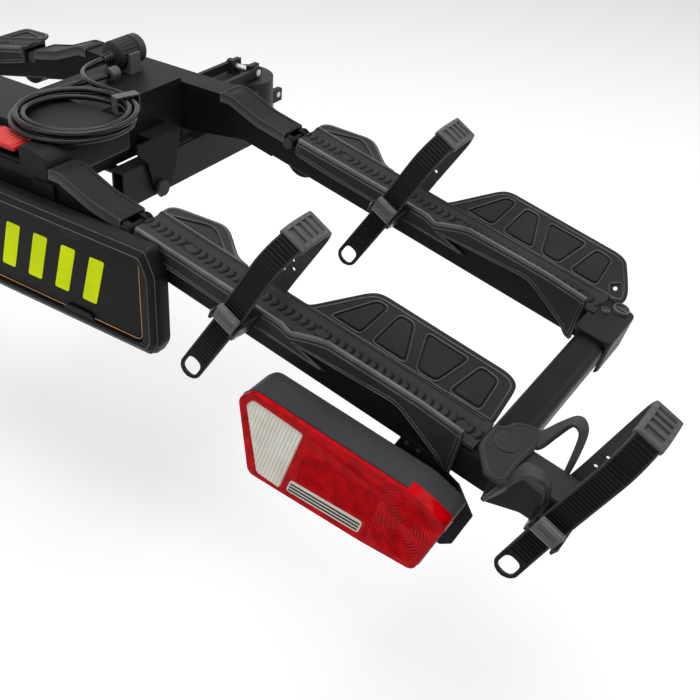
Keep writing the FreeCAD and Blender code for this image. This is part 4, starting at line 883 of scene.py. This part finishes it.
# Screws: blackened steel screws with a cross in the head, driven down through the trays into the tubes, and
# through the foot of each lamp bracket into the rear tube.
CROSS = ((-3.2, 3.2, -0.6, 0.6), (-0.6, 0.6, -3.2, 3.2))
CROSS_DEEP = (1.3, 4)
SCREW_HEAD = ((0, 4.9), (1.0, 4.9), (1.9, 4.2), (2.4, 2.8), (2.5, 1.0))
SCREW_SHANK = ((-6.2, 2.4), (0.2, 2.4))
SCREW_LEVEL = 14.2
BRACKET_SCREWS = ((359, -19), (372, -19))
BRACKET_FACE = REAR_FACE - 6
cross = joined("cross", *[block(*bar, *CROSS_DEEP, 0.2, 0.5) for bar in CROSS])
screw_mesh = joined("screw", carved(turned(SCREW_HEAD, 28), cross), turned(SCREW_SHANK, 20))
screws = []
for face_y in FACES.values():
    screws += [(screw_mesh, moved(x, face_y + TUBE / 2, SCREW_LEVEL)) for x in SCREW_XS]
screws += [(screw_mesh, moved(x, BRACKET_FACE, z) @ UPRIGHT) for x, z in BRACKET_SCREWS]
on_wings("cross_head_screws_", screws, black_bolt, "bolt_black", "wing_screws_")


# Ladder straps: moulded bands of tough black plastic with a rib every few millimetres on the outside, a
# rounded end with a finger hole on the tail, and three spare holes in the short leg behind the wheel.
STRAP_FOOT = 17
STRAP_X = 163
STRAP_LEAN = math.radians(18)
STRAP_TOP = 107
END_STRAP_X = 510
END_STRAP_LEAN = math.radians(14)
END_STRAP_TOP = 125
STRAP_HALF = 12.5
STRAP_REAR = -33
STRAP_FRONT = 39.5
LEG_BEND = 22
BAND_HALF = 1.5
TAIL_END = (-44, -92)
END_TAIL = (-41, -73)
STRAP_BENDS = (20, 38, 28, 20)
STRAP_STEP = 0.8
STRAP_RIB = 4.0
RIB_DEPTH = 1.3
RIBBED = (28, 235)
TAIL_ROUND = 11
FINGER_HOLE = (17, 20)
FINGER_RING = 3.6
SPARE_HOLES = ((-4, 2), (4, 10), (-2, 17))


def strap_route(top, tail=TAIL_END):
    return [tail, (STRAP_REAR, -22), (STRAP_REAR, top), (50, top), (STRAP_FRONT, LEG_BEND), (STRAP_FRONT, -12)]


def on_route(stations, index, across, out):
    point, heading = stations[index]
    return (across, point.x - heading.y * out, point.y + heading.x * out)


def ladder_strap(top, tail=TAIL_END):
    stations = bent_line(strap_route(top, tail), STRAP_BENDS, STRAP_STEP)
    rings = []
    along = 0.0
    last = stations[0][0]
    for index, (point, heading) in enumerate(stations):
        along += (point - last).length
        last = point
        end_round = math.sqrt(max(1 - ((TAIL_ROUND - along) / TAIL_ROUND) ** 2, 0.04)) if along < TAIL_ROUND else 1.0
        half = STRAP_HALF * end_round
        wave = abs((along / STRAP_RIB) % 1 - 0.5) * 2
        ribbed = RIB_DEPTH if RIBBED[0] < along < RIBBED[1] else 0.0
        groove = ribbed * (1 - eased((wave - 0.4) * 5))
        low = BAND_HALF - groove
        profile = [(-1.0, 0.9), (-0.96, BAND_HALF), (-0.82, BAND_HALF), (-0.76, low), (0.76, low), (0.82, BAND_HALF),
                   (0.96, BAND_HALF), (1.0, 0.9), (1.0, -0.9), (0.96, -BAND_HALF), (-0.96, -BAND_HALF), (-1.0, -0.9)]
        rings.append([on_route(stations, index, half * share, out) for share, out in profile])
    point, heading = stations[0]
    wide, long = FINGER_HOLE
    at_tail = Matrix(((1, 0, 0, 0), (0, heading.x, -heading.y, point.x), (0, heading.y, heading.x, point.y),
                      (0, 0, 0, 1)))
    corners = oblong(-wide / 2, wide / 2, FINGER_RING, FINGER_RING + long)
    cutters = [(cut_sheet(rounded(corners, 7.5), 8, 0.2), at_tail @ moved(0, 0, -4))]
    hole = turned(((-8, 2.3), (8, 2.3)), 20)
    cutters += [(hole, moved(across, STRAP_FRONT + 1, LEG_BEND + up) @ UPRIGHT) for across, up in SPARE_HOLES]
    return carved(swept(rings), *cutters)


def strap_place(x, face_y, lean):
    return moved(x, face_y, STRAP_FOOT) @ Matrix.Rotation(lean, 4, "Y")


strap_places = [strap_place(STRAP_X, face_y, STRAP_LEAN) for face_y in FACES.values()]
end_place = PART_SPACE @ WING_PLACES["right"] @ strap_place(END_STRAP_X, REAR_FACE, END_STRAP_LEAN)


def on_straps(names, meshes, material, slot_name, nodes=("",)):
    """The first mesh on each wheel strap, and the second one on the end piece's strap."""
    on_wings(names[0], [(meshes[0], place) for place in strap_places], material, slot_name, nodes[0])
    add_piece(names[1], [meshes[1]], end_place, material, "extension", slot_name, *nodes[1:])


# The straps' rib edges carry a painted highlight.
strap_plastic = finish("strap_plastic", (0.01, 0.01, 0.0105), 0.4, grain=900, depth=0.03, edge_highlight=0.12, gloss=0.08)
strap_meshes = (ladder_strap(STRAP_TOP), ladder_strap(END_STRAP_TOP, END_TAIL))
on_straps(("ladder_straps_", "end_ladder_strap"), strap_meshes, strap_plastic, "strap_black",
          ("wheel_straps_", "extension_strap"))


# Rim pads: grey rubber sleeves on the tops of the straps, which keep them off the wheel rims. Each has four
# sunk bars across it and thicker rolled ends.
PAD_FROM = -13
PAD_TO = 28
PAD_BARS = 4
PAD_HALF = 14.2
PAD_OUT = 4
BAR_DEPTH = 2.2
PAD_EDGE = ((9.6, PAD_OUT), (12.4, 3.9), (13.6, 3.3), (PAD_HALF, 2))


def rim_pad(top):
    stations = bent_line(strap_route(top), STRAP_BENDS, STRAP_STEP)
    covered = [index for index, (point, heading) in enumerate(stations)
               if PAD_FROM <= point.x <= PAD_TO and point.y > top / 2]
    rings = []
    for index in covered:
        along = (index - covered[0]) / (covered[-1] - covered[0])
        from_edge = min(along, 1 - along) * len(covered) * STRAP_STEP
        roll = 0.8 * eased((4 - from_edge) / 2) - 1.6 * eased((1.2 - from_edge) / 1.2)
        cell = (along * (PAD_BARS + 0.7) - 0.35) % 1
        bar = BAR_DEPTH * eased((0.33 - abs(cell - 0.5)) * 12) if 0.07 < along < 0.93 else 0.0
        profile = [(-PAD_HALF, -2)] + [(-across, out) for across, out in reversed(PAD_EDGE)]
        profile += [(-8.8, PAD_OUT - bar), (0, PAD_OUT - bar * 1.05), (8.8, PAD_OUT - bar), *PAD_EDGE]
        profile += [(PAD_HALF, -2), (13.4, -3.6), (-13.4, -3.6)]
        ring = []
        for across, out in profile:
            swell = roll if out > 1 else -roll if out < -3 else 0
            ring.append(on_route(stations, index, across, out + swell))
        rings.append(ring)
    return swept(rings)


# The pads' sharp edges carry a painted highlight.
pad_rubber = finish("pad_rubber", (0.085, 0.087, 0.083), 0.5, grain=700, depth=0.08, mottle=0.25, edge_highlight=0.12,
                    gloss=0.08)
on_straps(("rubber_rim_pads_", "end_rim_pad"), (rim_pad(STRAP_TOP), rim_pad(END_STRAP_TOP)), pad_rubber, "pad_grey",
          ("rim_pads_", "extension_pad"))


# Buckles: a body of black moulded plastic on the tray's apron, whose two cheeks hold the strap and the steel
# pin of the ratchet lever.
BUCKLE_HALF = 16
RATCHET_PIN = (-38.5, -6)
SIDEWAYS = Matrix(((0, 0, 1, 0), (1, 0, 0, 0), (0, 1, 0, 0), (0, 0, 0, 1)))
CHEEK = ((-42.5, -12), (-38, -16), (-8, -24), (-3.2, -24), (-3.2, 1), (-8, 1), (-30, 2), (-41, 2.5), (-43, -2))
CHEEK_THICK = 2.5
PIN_EYE = ((-0.6, 3.6), (0, 4.4), (2.5, 4.4), (3.1, 3.6))
BUCKLE_PIN = ((-1.6, 1.6), (-1.0, 2.3), (33.0, 2.3), (33.6, 1.6))
BUCKLE_BACK = (-BUCKLE_HALF, BUCKLE_HALF, -5.6, -3.1, -24, 1)
BUCKLE_BRIDGE = (-BUCKLE_HALF + 1, BUCKLE_HALF - 1, -31.2, -28.7, -16, 2)
buckle_shapes = []
for x in (-BUCKLE_HALF, BUCKLE_HALF - CHEEK_THICK):
    buckle_shapes.append((cut_sheet(rounded(CHEEK, 4), CHEEK_THICK, 0.8), moved(x) @ SIDEWAYS))
    buckle_shapes.append((turned(PIN_EYE, 24), moved(x, *RATCHET_PIN) @ ALONG_X))
buckle_shapes += [block(*BUCKLE_BACK, 0.7, 1), block(*BUCKLE_BRIDGE, 0.8, 1)]
buckle_mesh = joined("buckle", *buckle_shapes)
pin_mesh = joined("pin", (turned(BUCKLE_PIN, 20), moved(-BUCKLE_HALF, *RATCHET_PIN) @ ALONG_X))
# The buckles' sharp edges carry a painted highlight.
buckle_plastic = finish("buckle_plastic", (0.009, 0.009, 0.0095), 0.36, depth=0.03, edge_highlight=0.1, gloss=0.1)
on_straps(("buckle_bodies_", "end_buckle_body"), (buckle_mesh, buckle_mesh), buckle_plastic, "buckle_black",
          ("strap_buckles_", "extension_buckle"))
on_straps(("buckle_pins_", "end_buckle_pin"), (pin_mesh, pin_mesh), bare_steel, "steel_zinc")


# Ratchet levers: plates of grey moulded plastic on the buckle pins, with a thumb rest at the top and a sunk
# face. Lifted, they draw the strap through or let it go.
LEVER_HALF = 12.8
LEVER_PLATE = oblong(-LEVER_HALF, LEVER_HALF, -6, 14)
LEVER_FACE = (-9.5, 9.5, 0.9, 9.4, 2.6, 8)
LEVER_Y = -39.3
LEVER_BARREL = ((0, 2.6), (0.6, 3.5), (25, 3.5), (25.6, 2.6))
THUMB_REST = (-43.4, 11.6)
THUMB_PAD = (-LEVER_HALF, LEVER_HALF, -45.6, -40.0, 9.6, 13.8)
lever_plate = carved(cut_sheet(rounded(LEVER_PLATE, 2.5), 3.4, 0.8), block(*LEVER_FACE, 0.5, 1.8))
lever_mesh = joined("lever", (lever_plate, moved(0, LEVER_Y) @ UPRIGHT),
                    (turned(LEVER_BARREL, 28), moved(-LEVER_HALF, *RATCHET_PIN) @ ALONG_X),
                    bead([(-LEVER_HALF + 3, *THUMB_REST), (LEVER_HALF - 3, *THUMB_REST)], 2.3),
                    block(*THUMB_PAD, 1.6, 2.0))
# The levers' sharp edges carry a painted highlight.
lever_grey = finish("lever_grey", (0.115, 0.117, 0.115), 0.34, depth=0.03, mottle=0.14, edge_highlight=0.16, gloss=0.12)
for side, wing in WING_PLACES.items():
    for face, place in zip(FACES, strap_places):
        name = "ratchet_" + face + "_" + side
        add_piece("lever_" + face + "_" + side, [(lever_mesh, place)], PART_SPACE @ wing, lever_grey, name,
                  "ratchet_grey", name)
add_piece("end_lever", [lever_mesh], end_place, lever_grey, "extension_ratchet", "ratchet_grey", "extension_ratchet")


# Rear lamps: a dark grey moulded housing with rounded edges, a bright reflector and four bulbs in it, and a
# two-part lens on its rim.
LAMP_FRONT = -60
LAMP_RIM = -55
LAMP_BACK = -18
LAMP_WALL = 2.5
LAMP = ((219, -21), (206, -38), (236, -121), (367, -108), (425, -99), (436, -24), (398, -15))
lamp_outline = rounded(anticlockwise(LAMP), 8, 6)
lamp_inside = rounded(inset(LAMP, LAMP_WALL), 7, 6)


def on_lamps(name, shapes, material, slot_name, node=""):
    on_wings(name, [(joined(name, *shapes), moved(0, REAR_FACE))], material, slot_name, node)


housing_shapes = [standing(lamp_outline, LAMP_BACK - LAMP_RIM, 0.8, LAMP_BACK, [lamp_inside]),
                  standing(rounded(inset(LAMP, 0.6), 8, 6), 3, 1.2, LAMP_BACK + 0.3),
                  bead([(x, LAMP_RIM + 1.2, z) for x, z in lamp_outline], 0.9, True)]
housing_plastic = finish("housing_plastic", (0.046, 0.047, 0.049), 0.5, grain=900, depth=0.05, mottle=0.12, patch=12,
                         gloss=0.06)
mirror_bright = finish("mirror_bright", (0.8, 0.8, 0.8), 0.18, metallic=1.0, grain=300, depth=0.02, mottle=0.05)
bulb_glass = finish("bulb_glass", (0.85, 0.8, 0.62), 0.12, grain=200, depth=0.01, mottle=0.05)
on_lamps("housing_", housing_shapes, housing_plastic, "lamp_grey", "lamp_housing_")
paint(mirror_bright, "lamp_reflector_right", "lamp_reflector_left")
paint(bulb_glass, "lamp_bulbs_right", "lamp_bulbs_left")


# Lenses: red and clear mouldings of acrylic on the lamp's rim, with straight ribs over the indicator and brake
# fields, rings over the round one, a clear window low in the middle, and two screws at the corners.
CLEAR = ((222, -30), (281, -30), (273, -113.5), (245, -114), (216, -41))
RED = ((287, -20), (398, -16), (435, -25), (424, -98), (366, -107), (279, -116))
WINDOW = ((282, -93), (364, -83), (363, -101), (280, -110.5))
LENS_PANEL = ((290, -46), (379, -41), (385, -74), (285, -78))
SMOOTH_BAND = [(200, 0), (440, 0), (440, -38), (200, -46)]
RING_FIELD = oblong(372, 440, -16, -110)
RIB_FIELD = oblong(200, 372, -10, -120)
CLEAR_RIBS = ((196, -120), (0.097, 1), -3.7, 26)
TOP_RIBS = ((282, -24), (1, -0.07), -2.4, 3)
RED_RIBS = ((270, -34), (1, -0.06), -3.0, 20)
WINDOW_RIBS = ((280, -94.5), (1, 0.12), -4.2, 5)
RING_CENTRE = (401.5, -58)
RING_PITCH = 3.4
RINGS = range(2, 13)
LENS_SCREWS = ((215, -36), (239, -113))
LENS_SCREW_SIZE = 0.8
WRAP_START = 388
WRAP_LOW = -48
WRAP_BACK = -45
LENS_THICK = 5
SEE_THROUGH = {"red": 0.05, "clear": 0.15}


def inside(point, corners):
    """True where a point lies in a closed outline."""
    crossings = 0
    for index, corner in enumerate(corners):
        last = corners[index - 1]
        if (corner[1] > point[1]) != (last[1] > point[1]):
            share = (point[1] - corner[1]) / (last[1] - corner[1])
            if point[0] < corner[0] + share * (last[0] - corner[0]):
                crossings += 1
    return crossings % 2 == 1


def ribs(lines, corners, radius, sink=0.35, without=()):
    """Ridges on the lens along the stretches of lines that lie in an outline and outside the others."""
    runs = []
    for line in lines:
        runs.append([])
        for point in line:
            if inside(point, corners) and not any(inside(point, hole) for hole in without):
                runs[-1].append(point)
            elif runs[-1]:
                runs.append([])
    return [bead([(x, LAMP_FRONT + sink, z) for x, z in run], radius) for run in runs if len(run) > 3]


def straight_lines(start, heading, pitch, count):
    heading = Vector(heading).normalized()
    beside = Vector((-heading.y, heading.x))
    lines = []
    for index in range(count):
        first = Vector(start) + beside * pitch * index
        lines.append([tuple(first + heading * step) for step in range(-10, 260)])
    return lines


def ring_line(radius):
    angles = [math.radians(step + 90) for step in range(0, 361, 4)]
    x, z = RING_CENTRE
    return [(x + radius * math.cos(angle), z + radius * math.sin(angle)) for angle in angles]


red_field = inset(RED, 4.5)
clear_shapes = [standing(rounded(field, 4), 3.9, 0.2, LAMP_RIM) for field in (CLEAR, WINDOW)]
clear_shapes += ribs(straight_lines(*CLEAR_RIBS), inset(CLEAR, 1.2), 1.45, 1.3)
red_shapes = [standing(lamp_outline, LENS_THICK, 1.0, LAMP_RIM, [rounded(CLEAR, 4), rounded(WINDOW, 4)]),
              bead([(x, LAMP_FRONT + 0.1, z) for x, z in rounded(LENS_PANEL, 5)], 0.9, True)]
outer_wrap, inner_wrap = [
    [point for point in rounded(inset(LAMP, amount), 8, 6) if point.x > WRAP_START and point.y > WRAP_LOW]
    for amount in (-0.9, 1.2)]
wrap = anticlockwise(outer_wrap + list(reversed(inner_wrap)))
red_shapes.append(standing(wrap, WRAP_BACK - LAMP_FRONT, 0.4, WRAP_BACK))
red_shapes += ribs(straight_lines(*TOP_RIBS), inset(RED, 2), 0.8)
red_shapes += ribs(straight_lines(*RED_RIBS), red_field, 0.9, without=[RING_FIELD, SMOOTH_BAND, inset(WINDOW, -2.5)])
red_shapes += ribs([ring_line(RING_PITCH * ring) for ring in RINGS], red_field, 1.0, without=[RIB_FIELD])
window_bars = ribs(straight_lines(*WINDOW_RIBS), inset(WINDOW, 1.6), 0.9, 1.0)
at_screws = [moved(x, LAMP_FRONT + 1.2, z) @ UPRIGHT @ Matrix.Scale(LENS_SCREW_SIZE, 4) for x, z in LENS_SCREWS]
red_lens = finish("red_lens", (0.52, 0.0001, 0.004), 0.12, grain=300, depth=0.01, mottle=0.35, patch=70, gloss=0.035)
clear_lens = finish("clear_lens", (0.98, 0.92, 0.82), 0.14, grain=300, depth=0.01, mottle=0.1, patch=45, gloss=0.2)
for material, share in ((red_lens, SEE_THROUGH["red"]), (clear_lens, SEE_THROUGH["clear"])):
    material.node_tree.nodes["Principled BSDF"].inputs["Transmission Weight"].default_value = share
on_lamps("red_lens_", red_shapes, red_lens, "lens_red", "lamp_lens_")
on_lamps("clear_lens_", clear_shapes, clear_lens, "lens_clear", "reverse_lens_")
on_lamps("window_bars_", window_bars, housing_plastic, "lamp_grey")
on_lamps("lens_screws_", [(screw_mesh, place) for place in at_screws], black_bolt, "bolt_black")


# End covers: a casing of black moulded plastic over each wing's front corner, pushed on over the tubes, with
# a large and a small ring boss on top. The left wing's rear tube, which holds no end piece, has a plug as well.
CASE_CORNERS = oblong(408.5, 452, -227, -151)
CASE_LOW = -27
CASE_TOP = 16
LARGE_BOSS = ((-1, 9.8), (2.8, 9.6), (3.6, 8.9), (3.6, 7.8), (2.8, 7.2), (0.5, 6.8))
SMALL_BOSS = ((-1, 5.2), (2.0, 5.0), (2.6, 4.5), (2.6, 3.9), (0.5, 3.5))
LARGE_BOSS_AT = (436, -160, CASE_TOP)
SMALL_BOSS_AT = (423.5, -176, CASE_TOP)
BOSS_BARS = ((429, 443, -161, -159.2, 2.4, 0.5), (420, 427, -176.6, -175.4, 1.8, 0.4),
             (422.9, 424.1, -179.5, -172.5, 1.8, 0.4))
CASE_ROOMS = ((395, 448, -260, -155, -40, 10), (395, 416.3, -193.3, -60, -40, 30))
PLUG_CORNERS = oblong(-470, -435, -25, 10)
PLUG_X = 448
case_shape = (cut_sheet(rounded(CASE_CORNERS, 9, 7), CASE_TOP - CASE_LOW, 2.2), moved(0, 0, CASE_LOW))
for room in CASE_ROOMS:
    case_shape = carved(case_shape, block(*room, 0.3, 0.5))
case_bosses = [(turned(LARGE_BOSS, 40), moved(*LARGE_BOSS_AT)), (turned(SMALL_BOSS, 30), moved(*SMALL_BOSS_AT))]
for *bar, rise, corner in BOSS_BARS:
    case_bosses.append(block(*bar, CASE_TOP - 0.5, CASE_TOP + rise, 0.3, corner))
tube_plug = (cut_sheet(rounded(PLUG_CORNERS, 4), 4, 0.9), moved(PLUG_X) @ SIDEWAYS)
for side, wing in WING_PLACES.items():
    case_shapes = [case_shape] if side == "right" else [case_shape, tube_plug]
    add_piece("corner_casing_" + side, case_shapes, PART_SPACE @ wing, cover_plastic, "wing_" + side, "cover_plastic",
              "end_cover_" + side)
# The ring bosses and their bars are drawn in the paler plastic, as painted highlights.
on_wings("casing_bosses_", case_bosses, highlight_plastic, "cover_plastic")


# Pull-out end piece: a square steel bar in the right wing's rear tube, with a moulded sleeve that carries a
# saddle plate, two looped wheel horns that lean apart, a flat clamping knob and the third strap.
SLEEVE = (448.3, 524)
SLEEVE_SECTION = oblong(-2, TUBE + 2, -19, 20.5)
BAR_HOLE = oblong(3, TUBE - 3, -14.4, 14.4)
SADDLE_TOP = 25
SADDLE_THICK = 4.5
SADDLE = ((420, -3), (439, -27.5), (458, -27.5), (457, 4), (460, 34), (457, 61), (444, 59), (430, 51), (426, 38),
          (418, 34), (418, 4))
SADDLE_WALL = ((442, -29), (494, -8), (496, 18), (458, 24), (442, 22))
KNOB_AT = (437, 20, 25.2)
KNOB_PROFILE = ((0, 11.2), (0.3, 11.7), (0.6, 11.7), (1.1, 10.9), (1.0, 9.6), (1.3, 9.0))
HORN_THICK = 4.5
HORN_EASE = 1.2
FAR_HORN = (
    ((456, 37, 19), (463, 38, 25), (469.4, 46, 39.3), (475.3, 52, 52.6), (482, 52, 54.6), (487.4, 48, 51),
     (490.6, 38, 38), (492.3, 30, 20)),
    ((451, 60, 20), (457.4, 61, 28), (466.3, 63, 44), (477.4, 65, 58.5), (485.8, 64, 57), (490.5, 59, 50),
     (494, 46, 37), (496, 34, 19)))
NEAR_HORN = (
    ((455, -27, 18), (458.9, -27, 27), (460.8, -24, 42), (465, -21, 54), (475, -20, 56.7), (484, -16, 52),
     (489.5, -10, 42), (494.4, -3, 16)),
    ((444, -5, -27), (459, -19, 12), (467, -28, 36), (473, -31, 50), (483, -31, 54), (488.7, -26, 48),
     (491.5, -16, 32), (495, -5, -5)))


def along_edge(points, steps=6):
    """A smooth line through points."""
    knots = [Vector(point) for point in points]
    knots = [2 * knots[0] - knots[1]] + knots + [2 * knots[-1] - knots[-2]]
    line = []
    for before, here, after, beyond in zip(knots, knots[1:], knots[2:], knots[3:]):
        for step in range(steps):
            t = step / steps
            bend = (2 * before - 5 * here + 4 * after - beyond) * t * t
            bend += (3 * here - before - 3 * after + beyond) * t ** 3
            line.append((2 * here + (after - before) * t + bend) / 2)
    line.append(knots[-2])
    return line


def looped_horn(edges):
    """A moulded band between two edges, with its rims eased."""
    first, second = [along_edge(edge) for edge in edges]
    rings = []
    for index, (near, far) in enumerate(zip(first, second)):
        last, following = max(index - 1, 0), min(index + 1, len(first) - 1)
        ahead = first[following] + second[following] - first[last] - second[last]
        across = (far - near).normalized()
        out = ahead.cross(across).normalized() * HORN_THICK / 2
        ease = across * HORN_EASE
        rings.append([near + ease + out, far - ease + out, far + out * 0.4, far - out * 0.4,
                      far - ease - out, near + ease - out, near - out * 0.4, near + out * 0.4])
    return swept(rings)


bar_coat = finish("bar_coat", (0.014, 0.014, 0.0145), 0.45, grain=500, depth=0.04, gloss=0.07)
# The cradle's sharp edges carry a painted highlight.
cradle_plastic = finish("cradle_plastic", (0.028, 0.028, 0.03), 0.46, grain=1100, depth=0.12, edge_highlight=0.06, gloss=0.08)
paint(bar_coat, "extension_bar")
cradle_shapes = [
    (cut_sheet(rounded(SLEEVE_SECTION, 3), SLEEVE[1] - SLEEVE[0], 1.2, [BAR_HOLE]), moved(SLEEVE[0]) @ SIDEWAYS),
    (cut_sheet(rounded(SADDLE, 5, 6), SADDLE_THICK, 1.3), moved(0, 0, SADDLE_TOP - SADDLE_THICK)),
    standing(rounded(SADDLE_WALL, 3), 3.5, 1.0, -2),
    ridge(inset(SADDLE, 3.2), 0.9, 5, SADDLE_TOP - 0.1),
    looped_horn(FAR_HORN),
    looped_horn(NEAR_HORN)]
on_end = PART_SPACE @ WING_PLACES["right"] @ moved(0, REAR_FACE)
add_piece("end_cradle_loops", cradle_shapes, on_end, cradle_plastic, "extension", "cradle_plastic", "end_cradle")
add_piece("end_knob", [(turned(KNOB_PROFILE), moved(*KNOB_AT))], on_end, cradle_plastic, "cradle_knob",
          "cradle_plastic", "cradle_knob")
